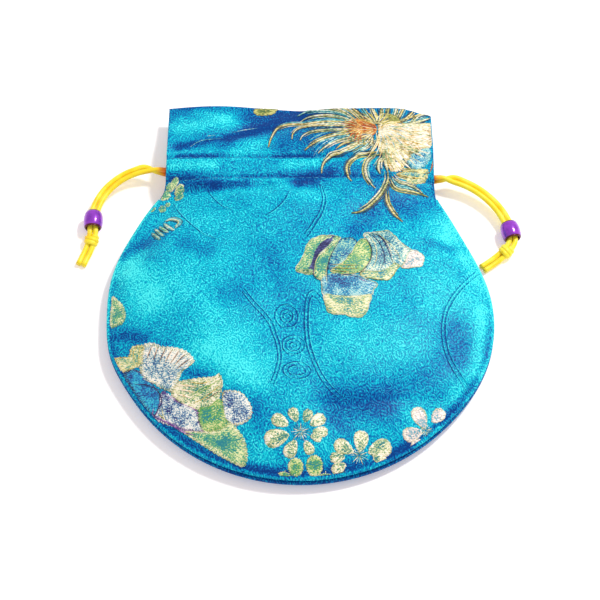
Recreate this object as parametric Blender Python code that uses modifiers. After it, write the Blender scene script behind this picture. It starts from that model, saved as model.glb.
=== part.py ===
"""Round drawstring pouch of satin brocade, lying on its back.

Two panels are cut alike: a round body with a straight neck. Their edges are turned in and
sewn together round the body. Above the shoulders the sides stay open as slits. Each neck is
folded inwards at the mouth and stitched down twice, which leaves a casing for the cords.
Two cords run through both casings. Each comes out at one side as a pair, passes a bead and
ends in a knot. Flower fields of thread stand on the front panel.

Units are metres, +Z is up, +Y points from the body to the mouth. The origin lies on the
table under the middle of the pouch.
"""

import math

import bpy
import bmesh
from mathutils import Matrix, Vector

# Outline of the two panels
BODY_RADIUS = 0.0600          # round body, to the fold of the seam
NECK_HALF_WIDTH = 0.0430
SHOULDER_ROUNDING = 0.0015    # how softly the body runs into the neck
CASING_ABOVE_CENTRE = 0.0433  # lower stitch line, measured from the body's centre
CASING_HEIGHT = 0.0079        # between the two stitch lines
HEADER_HEIGHT = 0.0219        # from the upper stitch line to the mouth
SEAM_END_BELOW_CASING = 0.0047
BACK_ROLL = 0.0007            # how far the back panel shows below the front one

# Cloth
CLOTH = 0.0004
FOLD_RADIUS = 0.00045         # middle of the cloth, at every turned edge
SEAM_GAP = 0.0003
ALLOWANCE = 0.0045            # width of the turned-in edge
SEAM_HEIGHT = 0.0040          # height of the seam above the table
SEAM_CLOSING = 0.0090         # length over which the turned-in edge gets its full width

# Casing
CORD_DIAMETER = 0.0017
TUNNEL_CLEARANCE = 0.0008
TUNNEL_SLOPE = 0.0010         # length over which the casing closes on its stitches
HEM_BELOW_CASING = 0.0020
HEM_SIDE_INSET = 0.0004
CASING_CUT_BACK = 0.0055      # the hem stops short of the slits, where the cords turn
STITCH_DENT = 0.0007
STITCH_DENT_WIDTH = 0.0006

# Heights of the cloth, middle of its thickness
BODY_CROWN = 0.0135
NECK_CROWN = 0.0114
BODY_SLOPE_LENGTH = 0.045
BODY_SLOPE_POWER = 2.4
NECK_SLOPE_LENGTH = 0.018
NECK_BLEND_BELOW = 0.011      # from the lower stitch line down to where the body's shape rules
NECK_BLEND_ABOVE = 0.002
RELIEF_FADE = 0.0035          # from a stitch line to where the folds have their full rise
RELIEF_RIM_FADE = 0.0060
MOUTH_DROOP = 0.0030          # how far the header sinks towards the mouth
MOUTH_CORNER_DROOP = 0.0012   # and further at its corners
BACK_SLOPE_LENGTH = 0.009

# Beads
BEAD_RADIUS = 0.0031
BEAD_END_RADIUS = 0.0026
BEAD_LENGTH = 0.0058
BEAD_BORE = 0.00215
BEAD_LIP = 0.0003
PAIR_SPACING = 0.0018         # between the two strands of a cord

# Flower fields
PAD = 0.0004
PAD_GAP = 0.00035

# Grid densities
FRONT_COLUMNS = 20
FRONT_BODY_ROWS = 15
FRONT_HEADER_ROWS = 4
BACK_COLUMNS = 14
BACK_BODY_ROWS = 10
BACK_HEADER_ROWS = 1
CORD_STEP = 0.0075
TUBE_RESOLUTION = 2
BEAD_STEPS = 18

# Places that follow from the sizes
RIM_RADIUS = BODY_RADIUS - FOLD_RADIUS - CLOTH / 2
OVERALL_LENGTH = (BODY_RADIUS + BACK_ROLL + CASING_ABOVE_CENTRE + CASING_HEIGHT
                  + HEADER_HEIGHT)
BODY_CENTRE_Y = BODY_RADIUS + BACK_ROLL - OVERALL_LENGTH / 2
LOWER_STITCH_Y = BODY_CENTRE_Y + CASING_ABOVE_CENTRE
UPPER_STITCH_Y = LOWER_STITCH_Y + CASING_HEIGHT
MOUTH_Y = UPPER_STITCH_Y + HEADER_HEIGHT
SEAM_END_Y = LOWER_STITCH_Y - SEAM_END_BELOW_CASING
LAYER_STEP = 2 * FOLD_RADIUS
TUNNEL_DROP = CORD_DIAMETER + TUNNEL_CLEARANCE + CLOTH
ALLOWANCE_OFFSET = SEAM_GAP / 2 + CLOTH / 2
FRONT_RIM_HEIGHT = SEAM_HEIGHT + ALLOWANCE_OFFSET + LAYER_STEP
BACK_RIM_HEIGHT = SEAM_HEIGHT - ALLOWANCE_OFFSET - LAYER_STEP
BACK_HEIGHT = CLOTH / 2
CORNER_Y = BODY_CENTRE_Y - RIM_RADIUS * math.sin(math.pi / 4)
STRAIGHT_ROW_Y = BODY_CENTRE_Y + BODY_RADIUS / 2

# Slack and fullness of the side seams: side, height above the body's centre, spread, width
RIM_WAVES = (
    (1, 0.0254, 0.013, -0.0035),
    (1, -0.0222, 0.014, 0.0014),
    (-1, 0.0263, 0.008, -0.0011),
    (-1, -0.0175, 0.007, 0.0011),
)

# Waves of the mouth edge: place across, spread, rise
MOUTH_WAVES = (
    (-0.030, 0.009, 0.0005),
    (0.001, 0.012, -0.0014),
    (0.044, 0.005, -0.0032),
)

# Folds and swells of the front panel: start, end, spread, rise. The ends are counted from the
# body's centre in radii of its rim
FOLDS = (
    ((-0.489, 1.031), (-0.421, 1.056), 0.0070, 0.0010),
    ((-0.674, 0.939), (0.000, 1.124), 0.0028, -0.0012),
    ((-0.708, 0.896), (-0.135, 0.905), 0.0014, -0.0006),
    ((0.101, 0.972), (0.236, 1.040), 0.0060, 0.0008),
    ((-0.708, 0.669), (-0.202, 0.677), 0.0028, -0.0012),
    ((0.000, 0.677), (0.152, 0.618), 0.0026, -0.0010),
    ((0.320, 0.484), (0.404, 0.366), 0.0036, -0.0009),
    ((-0.826, 0.130), (-0.741, -0.005), 0.0080, 0.0010),
    ((-0.741, 0.568), (-0.876, 0.315), 0.0036, -0.0009),
    ((-0.438, -0.342), (-0.303, -0.426), 0.0095, 0.0009),
    ((0.809, -0.291), (0.741, -0.056), 0.0042, -0.0011),
    ((0.792, 0.366), (0.826, 0.298), 0.0060, 0.0008),
    ((0.168, -0.679), (0.640, -0.595), 0.0050, -0.0008),
)

# Free pair of the left cord, from its cut ends to where the strands part, in mm
LEFT_PAIR = (
    (-69.6, 10.5, 1.0), (-68.9, 12.5, 1.0), (-68.0, 14.7, 1.1), (-67.2, 16.9, 1.5),
    (-66.6, 19.1, 2.1), (-66.3, 21.3, 2.8), (-66.3, 23.5, 3.1), (-66.3, 25.8, 3.15),
    (-65.9, 29.7, 3.2), (-64.7, 33.45, 3.35), (-62.75, 36.85, 3.6), (-60.15, 39.75, 3.9),
    (-57.0, 42.1, 4.3), (-53.4, 43.7, 4.7), (-50.25, 44.4, 5.1),
)
# The same cord from there through the front casing, round its bend and back
LEFT_CASING = (
    (-46.6, 44.5, 6.9), (-43.0, 43.3, 8.5), (-38.5, 42.9, 9.3), (-30.0, 42.9, 9.9),
    (-15.0, 42.9, 9.95), (0.0, 42.9, 9.95), (15.0, 42.9, 9.95), (30.0, 42.9, 9.95),
    (37.0, 42.9, 9.35), (39.8, 42.9, 8.1), (40.9, 42.9, 5.7), (39.8, 42.9, 2.9),
    (37.0, 42.9, 1.75), (30.0, 42.9, 1.65), (15.0, 42.9, 1.65), (0.0, 42.9, 1.65),
    (-15.0, 42.9, 1.65), (-30.0, 42.9, 1.65), (-38.5, 42.8, 1.65), (-43.0, 42.7, 2.1),
    (-46.6, 43.0, 3.6),
)
# Free pair of the right cord, in mm
RIGHT_PAIR = (
    (57.9, 9.1, 1.0), (59.9, 10.5, 1.0), (61.9, 12.0, 1.1), (63.8, 13.5, 1.5),
    (65.6, 15.0, 2.1), (67.0, 16.7, 2.8), (67.8, 18.8, 3.1), (67.35, 21.7, 3.15),
    (66.25, 25.3, 3.25), (64.6, 28.85, 3.45), (62.4, 32.05, 3.65), (59.7, 34.9, 3.95),
    (56.65, 37.3, 4.25), (53.2, 39.15, 4.6), (49.55, 40.45, 5.0),
)
RIGHT_CASING = (
    (46.4, 41.4, 6.5), (43.0, 40.7, 7.6), (38.5, 40.4, 8.6), (30.0, 40.4, 9.75),
    (15.0, 40.4, 9.95), (0.0, 40.4, 9.95), (-15.0, 40.4, 9.95), (-30.0, 40.4, 9.85),
    (-37.0, 40.4, 9.05), (-39.8, 40.4, 7.9), (-40.9, 40.4, 5.7), (-39.8, 40.4, 2.9),
    (-37.0, 40.4, 1.75), (-30.0, 40.4, 1.65), (-15.0, 40.4, 1.65), (0.0, 40.4, 1.65),
    (15.0, 40.4, 1.65), (30.0, 40.4, 1.65), (38.5, 40.3, 1.65), (43.0, 40.2, 2.1),
    (46.4, 39.9, 3.6),
)
MM = 0.001
KNOT_POINT = 4                # of a pair's points, where its knot sits
# Bends that the beads ride round: middle, radius, tilt and the bead's place at rest
LEFT_BEND = ((-47.64, 25.8, 5.44), 18.8, math.radians(7), math.radians(180))
RIGHT_BEND = ((43.14, 16.4, 5.69), 24.9, math.radians(-6), math.radians(12.3))
KNOT_LOOP = 0.00185           # from a knot's middle to the middle of its turn
KNOT_TURN = 0.00085           # radius of the cord in the turn
KNOT_FLATNESS = 0.70          # a knot's height over its width
KNOT_TURNS = ((-0.0007, math.radians(26)), (0.0009, math.radians(-21)))  # shift and lean

# Flower fields: name, middle in radii of the rim from the body's centre, core radius, swirl,
# points of the outline, and petals, each with its direction in degrees, reach and spread
FLOWERS = (
    ("chrysanthemum", (0.455, 0.939), 0.0070, 12.0, 90, (
        (359, 0.0165, 12), (25, 0.0190, 12), (53, 0.0190, 12), (81, 0.0180, 12),
        (104, 0.0200, 9), (122, 0.0230, 8), (138, 0.0270, 7), (148, 0.0330, 6),
        (159, 0.0370, 6), (170, 0.0380, 6), (184, 0.0320, 7), (199, 0.0270, 7),
        (215, 0.0240, 8), (237, 0.0300, 8), (263, 0.0310, 9), (286, 0.0210, 9),
        (312, 0.0170, 12), (337, 0.0160, 12))),
    ("iris", (0.261, 0.130), 0.0090, 0.0, 48, (
        (10, 0.0230, 20), (52, 0.0175, 32), (108, 0.0120, 20), (138, 0.0160, 34),
        (183, 0.0173, 16), (245, 0.0162, 26), (283, 0.0178, 26), (345, 0.0145, 22))),
    ("peony", (-0.640, -0.603), 0.0110, 0.0, 54, (
        (20, 0.0130, 28), (60, 0.0155, 26), (100, 0.0195, 24), (138, 0.0250, 24),
        (170, 0.0200, 24), (210, 0.0200, 30), (250, 0.0200, 30), (290, 0.0200, 26),
        (322, 0.0275, 22))),
    ("peony_bud", (-0.278, -0.645), 0.0025, 0.0, 20, (
        (30, 0.0052, 40), (110, 0.0060, 40), (190, 0.0052, 40), (280, 0.0058, 46))),
    ("blossom_1", (-0.017, -0.772), 0.0035, 0.0, 30, (
        (10, 0.0072, 30), (70, 0.0068, 30), (130, 0.0072, 30), (190, 0.0072, 30),
        (250, 0.0068, 30), (310, 0.0070, 30))),
    ("blossom_2", (0.261, -0.873), 0.0035, 0.0, 30, (
        (30, 0.0080, 32), (100, 0.0070, 32), (165, 0.0074, 32), (235, 0.0068, 32),
        (310, 0.0070, 34))),
    ("blossom_3", (0.610, -0.721), 0.0032, 0.0, 30, (
        (40, 0.0082, 32), (110, 0.0062, 32), (180, 0.0066, 32), (250, 0.0064, 32),
        (320, 0.0060, 32))),
    ("blossom_4", (0.008, -0.987), 0.0032, 0.0, 24, (
        (20, 0.0068, 32), (90, 0.0048, 32), (160, 0.0070, 32), (250, 0.0064, 40),
        (320, 0.0060, 32))),
    ("sprig_upper", (-0.677, 0.669), 0.0022, 0.0, 24, (
        (45, 0.0058, 40), (125, 0.0042, 40), (232, 0.0105, 30), (310, 0.0042, 40))),
    ("sprig_lower", (-0.716, 0.441), 0.0018, 0.0, 20, (
        (40, 0.0068, 34), (130, 0.0026, 40), (220, 0.0068, 34), (310, 0.0026, 40))),
    ("edge_leaf", (-0.952, -0.072), 0.0018, 0.0, 20, (
        (80, 0.0060, 36), (170, 0.0026, 40), (262, 0.0060, 36), (350, 0.0028, 40))),
)
SWIRL_LENGTH = 0.020          # reach beyond the core over which a petal turns by its swirl
CUTTER_HEIGHT = 0.030

COLOURS = {
    "front_panel": (0.015, 0.46, 0.68, 0.42),
    "back_panel": (0.010, 0.36, 0.58, 0.42),
    "drawcord": (0.93, 0.72, 0.03, 0.45),
    "bead": (0.27, 0.05, 0.47, 0.18),
    "chrysanthemum": (0.78, 0.68, 0.36, 0.38),
    "iris": (0.38, 0.58, 0.42, 0.45),
    "peony": (0.62, 0.66, 0.58, 0.45),
    "blossom": (0.55, 0.66, 0.28, 0.42),
    "sprig": (0.52, 0.68, 0.42, 0.42),
}


def clear_scene():
    """Remove the objects that the scene starts with."""
    for existing in list(bpy.data.objects):
        bpy.data.objects.remove(existing, do_unlink=True)


def new_collection(name):
    """Make a collection in the scene."""
    collection = bpy.data.collections.new(name)
    bpy.context.scene.collection.children.link(collection)
    return collection


def material(name, key):
    """Make a part's own material from the colour and roughness kept under key."""
    red, green, blue, roughness = COLOURS[key]
    made = bpy.data.materials.new(name)
    made.use_nodes = True
    shader = made.node_tree.nodes["Principled BSDF"]
    shader.inputs["Base Color"].default_value = (red, green, blue, 1.0)
    shader.inputs["Roughness"].default_value = roughness
    made.diffuse_color = (red, green, blue, 1.0)
    return made


def move_to(thing, collection):
    """Keep an object in one collection only."""
    for holder in list(thing.users_collection):
        holder.objects.unlink(thing)
    collection.objects.link(thing)


def finish(thing, collection, key, angle=50):
    """Put a part in its collection, give it its material and shade it."""
    move_to(thing, collection)
    thing.data.materials.clear()
    thing.data.materials.append(material(thing.name, key))
    if thing.type == "MESH":
        thing.data.shade_smooth()
        thing.data.set_sharp_from_angle(angle=math.radians(angle))


def ease(low, high, value):
    """Run smoothly from 0 at low to 1 at high."""
    t = min(1.0, max(0.0, (value - low) / (high - low)))
    return t * t * (3 - 2 * t)


def bell(offset, spread):
    """Return the height of a bell curve of height 1."""
    return math.exp(-offset * offset / (2 * spread * spread))


def side_wave(y, side):
    """Return how far a side seam stands outside the round body at height y."""
    above = y - BODY_CENTRE_Y
    return sum(width * bell(above - place, spread)
               for which, place, spread, width in RIM_WAVES if which == side)


def half_width(y, side):
    """Return the distance from the middle line to the edge at height y."""
    above = y - BODY_CENTRE_Y
    body = math.sqrt(max(0.0, RIM_RADIUS ** 2 - above ** 2)) + side_wave(y, side)
    step = body - NECK_HALF_WIDTH
    return (body + NECK_HALF_WIDTH + math.hypot(step, SHOULDER_ROUNDING)) / 2 \
        if above > 0 else body


def seam_distance(x, y):
    """Return the distance from a point of the cloth to the sewn edge."""
    side = 1 if x >= 0 else -1
    across = abs(x)
    above = y - BODY_CENTRE_Y
    reach = math.hypot(across, above)
    if reach < 1e-9:
        return RIM_RADIUS
    rim_y = BODY_CENTRE_Y + RIM_RADIUS * above / reach
    if rim_y > SEAM_END_Y:
        return math.hypot(across - half_width(SEAM_END_Y, side), y - SEAM_END_Y)
    rim = RIM_RADIUS + side_wave(rim_y, side) * across / reach
    return max(0.0, rim - reach)


def on_body(place):
    """Return x and y of a place that is counted in radii of the rim from the body's centre."""
    return (place[0] * RIM_RADIUS, BODY_CENTRE_Y + place[1] * RIM_RADIUS)


def segment_distance(x, y, start, end):
    """Return the distance from a point to a straight line between two points."""
    along = Vector(end) - Vector(start)
    offset = Vector((x, y)) - Vector(start)
    t = min(1.0, max(0.0, offset.dot(along) / along.length_squared))
    return (offset - along * t).length


def relief(x, y):
    """Return the rise of the front panel's folds, which the casing holds flat."""
    rise = sum(height * bell(segment_distance(x, y, on_body(start), on_body(end)), spread)
               for start, end, spread, height in FOLDS)
    below = ease(LOWER_STITCH_Y, LOWER_STITCH_Y - RELIEF_FADE, y)
    over = ease(UPPER_STITCH_Y, UPPER_STITCH_Y + RELIEF_FADE, y)
    inside = ease(0.0, RELIEF_RIM_FADE, seam_distance(x, y))
    return rise * max(below, over) * inside


def front_height(x, y):
    """Return the height of the front panel's outer layer."""
    away = seam_distance(x, y)
    round_part = 1 - (1 - min(1.0, away / BODY_SLOPE_LENGTH)) ** BODY_SLOPE_POWER
    neck_part = 1 - (1 - min(1.0, away / NECK_SLOPE_LENGTH)) ** 2
    body = FRONT_RIM_HEIGHT + (BODY_CROWN - FRONT_RIM_HEIGHT) * round_part
    neck = FRONT_RIM_HEIGHT + (NECK_CROWN - FRONT_RIM_HEIGHT) * neck_part
    blend = ease(LOWER_STITCH_Y - NECK_BLEND_BELOW, LOWER_STITCH_Y + NECK_BLEND_ABOVE, y)
    dents = STITCH_DENT * (bell(y - LOWER_STITCH_Y, STITCH_DENT_WIDTH)
                           + bell(y - UPPER_STITCH_Y, STITCH_DENT_WIDTH))
    droop = ease(UPPER_STITCH_Y, MOUTH_Y, y) * (
        MOUTH_DROOP + MOUTH_CORNER_DROOP * (x / NECK_HALF_WIDTH) ** 4)
    return body + (neck - body) * blend - dents - droop + relief(x, y)


def back_height(x, y):
    """Return the height of the back panel's outer layer, flat on the table inside its rim."""
    away = seam_distance(x, y)
    rise = (1 - min(1.0, away / BACK_SLOPE_LENGTH)) ** 2
    return BACK_HEIGHT + (BACK_RIM_HEIGHT - BACK_HEIGHT) * rise


def layer_drop(y):
    """Return the distance between a panel's outer layer and its hem."""
    inside = min(y - LOWER_STITCH_Y, UPPER_STITCH_Y - y)
    open_part = min(1.0, max(0.0, inside / TUNNEL_SLOPE))
    return LAYER_STEP + (TUNNEL_DROP - LAYER_STEP) * open_part


def mouth_shift(x, y):
    """Return how far the header is pulled up or down at a place."""
    wave = sum(rise * bell(x - place, spread) for place, spread, rise in MOUTH_WAVES)
    return wave * ease(UPPER_STITCH_Y, MOUTH_Y, y)


def row_point(u, side_y, roll):
    """Return x and y of a row's point, u from the left edge (0) to the right edge (1)."""
    left = -half_width(side_y, -1)
    right = half_width(side_y, 1)
    x = left + (right - left) * u
    y = side_y
    if side_y < STRAIGHT_ROW_Y:
        turn = math.radians(225 + 90 * u)
        chord = RIM_RADIUS * math.cos(math.radians(225)) * (1 - 2 * u)
        fade = min(1.0, (STRAIGHT_ROW_Y - side_y) / (STRAIGHT_ROW_Y - CORNER_Y)) ** 1.6
        x += fade * (RIM_RADIUS * math.cos(turn) - chord)
        y += fade * RIM_RADIUS * (math.sin(turn) - math.sin(math.radians(225)))
    low = min(0.0, y - BODY_CENTRE_Y) / RIM_RADIUS
    push = 1 + roll / RIM_RADIUS * low ** 2 * math.hypot(x / RIM_RADIUS, low) ** 6
    return x * push, y * push + (1 - push) * BODY_CENTRE_Y + mouth_shift(x, y)


def spaced(low, high, count):
    """Return count values from low, evenly spaced, without high."""
    return [low + (high - low) * index / count for index in range(count)]


def panel_rows(body_rows, header_rows):
    """List a panel's rows as pairs of layer and height along its side edge."""
    hem_end = LOWER_STITCH_Y - HEM_BELOW_CASING
    tunnel_low = LOWER_STITCH_Y + TUNNEL_SLOPE
    tunnel_high = UPPER_STITCH_Y - TUNNEL_SLOPE
    rows = [("outer", y) for y in spaced(CORNER_Y, hem_end, body_rows)]
    rows += [("outer", y) for y in (hem_end, LOWER_STITCH_Y, tunnel_low,
                                    (tunnel_low + tunnel_high) / 2, tunnel_high,
                                    UPPER_STITCH_Y)]
    fold_y = MOUTH_Y - CLOTH / 2 - FOLD_RADIUS
    rows += [("outer", y) for y in spaced(UPPER_STITCH_Y + TUNNEL_SLOPE * 1.5, fold_y,
                                          header_rows)]
    rows += [("outer", fold_y), ("fold", fold_y + FOLD_RADIUS), ("hem", fold_y)]
    middle = (UPPER_STITCH_Y + fold_y) / 2
    rows += [("hem", y) for y in (middle, UPPER_STITCH_Y + TUNNEL_SLOPE * 1.5,
                                  UPPER_STITCH_Y, tunnel_high, tunnel_low,
                                  LOWER_STITCH_Y, hem_end)]
    return rows


def hem_width(y):
    """Return the share of the neck's width that the hem has at height y."""
    narrow = (NECK_HALF_WIDTH - CASING_CUT_BACK) / NECK_HALF_WIDTH
    wide = (NECK_HALF_WIDTH - HEM_SIDE_INSET) / NECK_HALF_WIDTH
    return narrow + (wide - narrow) * ease(UPPER_STITCH_Y + TUNNEL_SLOPE, MOUTH_Y, y)


def panel_point(u, row, height, inward, roll=0.0):
    """Return a point of a panel; inward is the direction from its outer layer to its hem."""
    layer, side_y = row
    x, y = row_point(u, side_y, roll)
    if layer == "outer":
        return Vector((x, y, height(x, y)))
    if layer == "fold":
        return Vector((x, y, height(x, y) + inward * FOLD_RADIUS))
    x *= hem_width(side_y)
    return Vector((x, y, height(x, y) + inward * layer_drop(side_y)))


def thicken(sheet, name, thickness):
    """Split a sheet's faces along the same diagonals and thicken it about its middle."""
    split = sheet.modifiers.new("Split", "TRIANGULATE")
    split.quad_method = "FIXED"
    solid = sheet.modifiers.new(name, "SOLIDIFY")
    solid.thickness = thickness
    solid.offset = 0.0
    solid.use_even_offset = True


def panel(name, columns, rows, height, inward, roll, collection):
    """Build one panel: its outer layer, hem and turned-in seam edge."""
    bpy.ops.mesh.primitive_grid_add(x_subdivisions=columns, y_subdivisions=len(rows) - 1,
                                    size=2)
    sheet = bpy.context.object
    sheet.name = name
    bm = bmesh.new()
    bm.from_mesh(sheet.data)
    rim = set()
    for vert in bm.verts:
        u = (vert.co.x + 1) / 2
        number = round((vert.co.y + 1) / 2 * (len(rows) - 1))
        on_edge = number == 0 or min(u, 1 - u) < 0.5 / columns
        turned = on_edge and rows[number][0] == "outer" and rows[number][1] <= SEAM_END_Y
        vert.co = panel_point(u, rows[number], height, inward, roll)
        if turned:
            rim.add(vert)
    turn_edge_in(bm, rim, inward)
    bm.to_mesh(sheet.data)
    bm.free()
    if inward > 0:
        sheet.data.flip_normals()
    thicken(sheet, "Cloth", CLOTH)
    finish(sheet, collection, name)
    return sheet


def turn_edge_in(bm, rim, inward):
    """Fold the sewn edge round and run it back into the pouch."""
    centre = Vector((0, BODY_CENTRE_Y, 0))
    outward = {}
    for vert in rim:
        arm = vert.co - centre
        arm.z = 0
        close = ease(SEAM_END_Y + CLOTH, SEAM_END_Y - SEAM_CLOSING, vert.co.y)
        outward[tuple(vert.co)] = (arm.normalized(), FOLD_RADIUS + ALLOWANCE * close)
    edges = [edge for edge in bm.edges
             if edge.is_boundary and edge.verts[0] in rim and edge.verts[1] in rim]
    down = Vector((0, 0, inward * FOLD_RADIUS))
    for step in range(3):
        made = bmesh.ops.extrude_edge_only(bm, edges=edges)["geom"]
        edges = [item for item in made if isinstance(item, bmesh.types.BMEdge)]
        moved = {}
        for vert in (item for item in made if isinstance(item, bmesh.types.BMVert)):
            arm, back = outward[tuple(vert.co)]
            if step == 0:
                vert.co += arm * FOLD_RADIUS + down
            elif step == 1:
                vert.co += down - arm * FOLD_RADIUS
            else:
                vert.co -= arm * back
            moved[tuple(vert.co)] = (arm, back)
        outward = moved


def curve_through(points, step):
    """Return points about a step apart on a smooth curve through the given ones."""
    route = [Vector(point) * MM for point in points]
    ends = [route[0] * 2 - route[1]] + route + [route[-1] * 2 - route[-2]]
    read = []
    for before, start, stop, after in zip(ends, ends[1:], ends[2:], ends[3:]):
        count = max(1, round((stop - start).length / step))
        for index in range(count):
            t = index / count
            read.append(0.5 * (2 * start + (stop - before) * t
                               + (2 * before - 5 * start + 4 * stop - after) * t ** 2
                               + (3 * start - before - 3 * stop + after) * t ** 3))
    return read + [route[-1]]


def strand(pair, side):
    """Move a pair's middle line sideways by half the spacing of its strands."""
    moved = []
    for index, point in enumerate(pair):
        ahead = Vector(pair[min(index + 1, len(pair) - 1)])
        behind = Vector(pair[max(index - 1, 0)])
        along = ahead - behind
        across = Vector((-along.y, along.x, 0)).normalized()
        moved.append(Vector(point) + across * side * PAIR_SPACING / 2 / MM)
    return moved


def as_mesh(thing, name):
    """Turn an object's evaluated shape into a welded mesh object in its place."""
    graph = bpy.context.evaluated_depsgraph_get()
    mesh = bpy.data.meshes.new_from_object(thing.evaluated_get(graph))
    bm = bmesh.new()
    bm.from_mesh(mesh)
    bmesh.ops.remove_doubles(bm, verts=bm.verts, dist=1e-6)
    bm.to_mesh(mesh)
    bm.free()
    made = bpy.data.objects.new(name, mesh)
    made.matrix_world = thing.matrix_world
    bpy.data.objects.remove(thing, do_unlink=True)
    return made


def knot_turn(name, pair, shift, lean, cutters):
    """Make one turn of a knot round the pair of strands."""
    along = (Vector(pair[KNOT_POINT + 1]) - Vector(pair[KNOT_POINT - 1])).normalized()
    middle = Vector(pair[KNOT_POINT]) * MM + along * shift
    bpy.ops.mesh.primitive_torus_add(major_segments=10, minor_segments=5,
                                     major_radius=KNOT_LOOP, minor_radius=KNOT_TURN)
    turn = bpy.context.object
    turn.name = name
    facing = along.to_track_quat("Z", "Y").to_matrix().to_4x4()
    turn.data.transform(facing @ Matrix.Rotation(lean, 4, "Y")
                        @ Matrix.Diagonal((1.0, KNOT_FLATNESS, 1.0, 1.0)))
    turn.location = middle
    turn.hide_render = True
    turn.display_type = "WIRE"
    move_to(turn, cutters)
    return turn


def drawcord(name, pair, casing, cutters, collection):
    """Build one cord: two strands out of a knot, through the bead and both casings."""
    sides = (1, -1) if pair[-1][0] > 0 else (-1, 1)
    route = curve_through(strand(pair, -sides[1]) + list(casing)
                          + strand(pair, -sides[0])[::-1], CORD_STEP)
    data = bpy.data.curves.new(name, "CURVE")
    data.dimensions = "3D"
    data.bevel_depth = CORD_DIAMETER / 2
    data.bevel_resolution = TUBE_RESOLUTION
    data.use_fill_caps = True
    spline = data.splines.new("POLY")
    spline.points.add(len(route) - 1)
    for point, place in zip(spline.points, route):
        point.co = (*place, 1.0)
    line = bpy.data.objects.new(name + "_line", data)
    bpy.context.scene.collection.objects.link(line)
    cord = as_mesh(line, name)
    bpy.context.scene.collection.objects.link(cord)
    for number, (shift, lean) in enumerate(KNOT_TURNS):
        join = cord.modifiers.new("Knot", "BOOLEAN")
        join.operation = "UNION"
        join.object = knot_turn(f"{name}_turn_{number}", pair, shift, lean, cutters)
    finish(cord, collection, "drawcord", angle=60)
    return cord


def bead(name, bend, collection):
    """Turn a barrel bead and hang it on an empty in the middle of its cord's bend."""
    bulge = (BEAD_RADIUS - BEAD_END_RADIUS) * 0.25
    half = BEAD_LENGTH / 2
    profile = ((BEAD_BORE + BEAD_LIP, half), (BEAD_END_RADIUS, half - BEAD_LIP),
               (BEAD_RADIUS - bulge, half * 0.5), (BEAD_RADIUS, 0.0),
               (BEAD_RADIUS - bulge, -half * 0.5), (BEAD_END_RADIUS, BEAD_LIP - half),
               (BEAD_BORE + BEAD_LIP, -half), (BEAD_BORE, BEAD_LIP - half),
               (BEAD_BORE, half - BEAD_LIP))
    bm = bmesh.new()
    corners = [bm.verts.new((radius, 0, z)) for radius, z in profile]
    for start, stop in zip(corners, corners[1:] + corners[:1]):
        bm.edges.new((start, stop))
    mesh = bpy.data.meshes.new(name)
    bm.to_mesh(mesh)
    bm.free()
    turned = bpy.data.objects.new(name, mesh)
    screw = turned.modifiers.new("Turn", "SCREW")
    screw.steps = BEAD_STEPS
    screw.render_steps = BEAD_STEPS
    screw.use_merge_vertices = True
    screw.merge_threshold = 0.00001
    bpy.context.scene.collection.objects.link(turned)
    middle, radius, tilt, rest = bend
    pivot = bpy.data.objects.new(name + "_pivot", None)
    pivot.location = Vector(middle) * MM
    pivot.rotation_euler = (0, -tilt, 0)
    collection.objects.link(pivot)
    turned.parent = pivot
    turned.location = (radius * MM * math.cos(rest), radius * MM * math.sin(rest), 0)
    turned.rotation_mode = "QUATERNION"
    turned.rotation_quaternion = Vector((-math.sin(rest), math.cos(rest), 0)) \
        .to_track_quat("Z", "Y")
    finish(turned, collection, "bead")
    return turned


def thread_layer(rows):
    """Make the layer above the front panel's outer cloth that the flowers are cut from."""
    outer = [row for row in rows if row[0] == "outer"]
    bpy.ops.mesh.primitive_grid_add(x_subdivisions=FRONT_COLUMNS,
                                    y_subdivisions=len(outer) - 1, size=2)
    layer = bpy.context.object
    for vert in layer.data.vertices:
        u = (vert.co.x + 1) / 2
        number = round((vert.co.y + 1) / 2 * (len(outer) - 1))
        vert.co = panel_point(u, outer[number], front_height, -1)
    layer.data.transform(Matrix.Translation((0, 0, CLOTH / 2 + PAD_GAP + PAD / 2)))
    thicken(layer, "Thread", PAD)
    return as_mesh(layer, "thread_layer")


def petal_reach(angle, core, petals):
    """Return a flower's radius in one direction, in degrees."""
    reach = core
    for direction, length, spread in petals:
        turn = abs((angle - direction + 180) % 360 - 180)
        if turn < spread:
            lobe = math.cos(math.pi / 2 * turn / spread) ** 0.8
            reach = max(reach, core + (length - core) * lobe)
    return reach


def flower(name, middle, core, swirl, count, petals, layer, cutters, collection):
    """Cut one flower field out of the thread layer."""
    data = bpy.data.curves.new(name + "_outline", "CURVE")
    data.dimensions = "2D"
    data.fill_mode = "BOTH"
    data.extrude = CUTTER_HEIGHT / 2
    x, y = on_body(middle)
    spline = data.splines.new("POLY")
    spline.points.add(count - 1)
    for index, point in enumerate(spline.points):
        angle = index * 360 / count
        reach = petal_reach(angle, core, petals)
        turn = math.radians(angle + swirl * (reach - core) / SWIRL_LENGTH)
        point.co = (x + reach * math.cos(turn), y + reach * math.sin(turn), 0, 1)
    spline.use_cyclic_u = True
    outline = bpy.data.objects.new(name + "_outline", data)
    bpy.context.scene.collection.objects.link(outline)
    cutter = as_mesh(outline, name + "_cutter")
    cutter.hide_render = True
    cutter.display_type = "WIRE"
    cutters.objects.link(cutter)
    field = bpy.data.objects.new(name, layer.data.copy())
    bpy.context.scene.collection.objects.link(field)
    cut = field.modifiers.new("Outline", "BOOLEAN")
    cut.operation = "INTERSECT"
    cut.object = cutter
    key = "blossom" if name.startswith(("blossom", "peony_bud")) else name
    key = "sprig" if name.startswith(("sprig", "edge")) else key
    finish(field, collection, key, angle=30)
    return field


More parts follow.
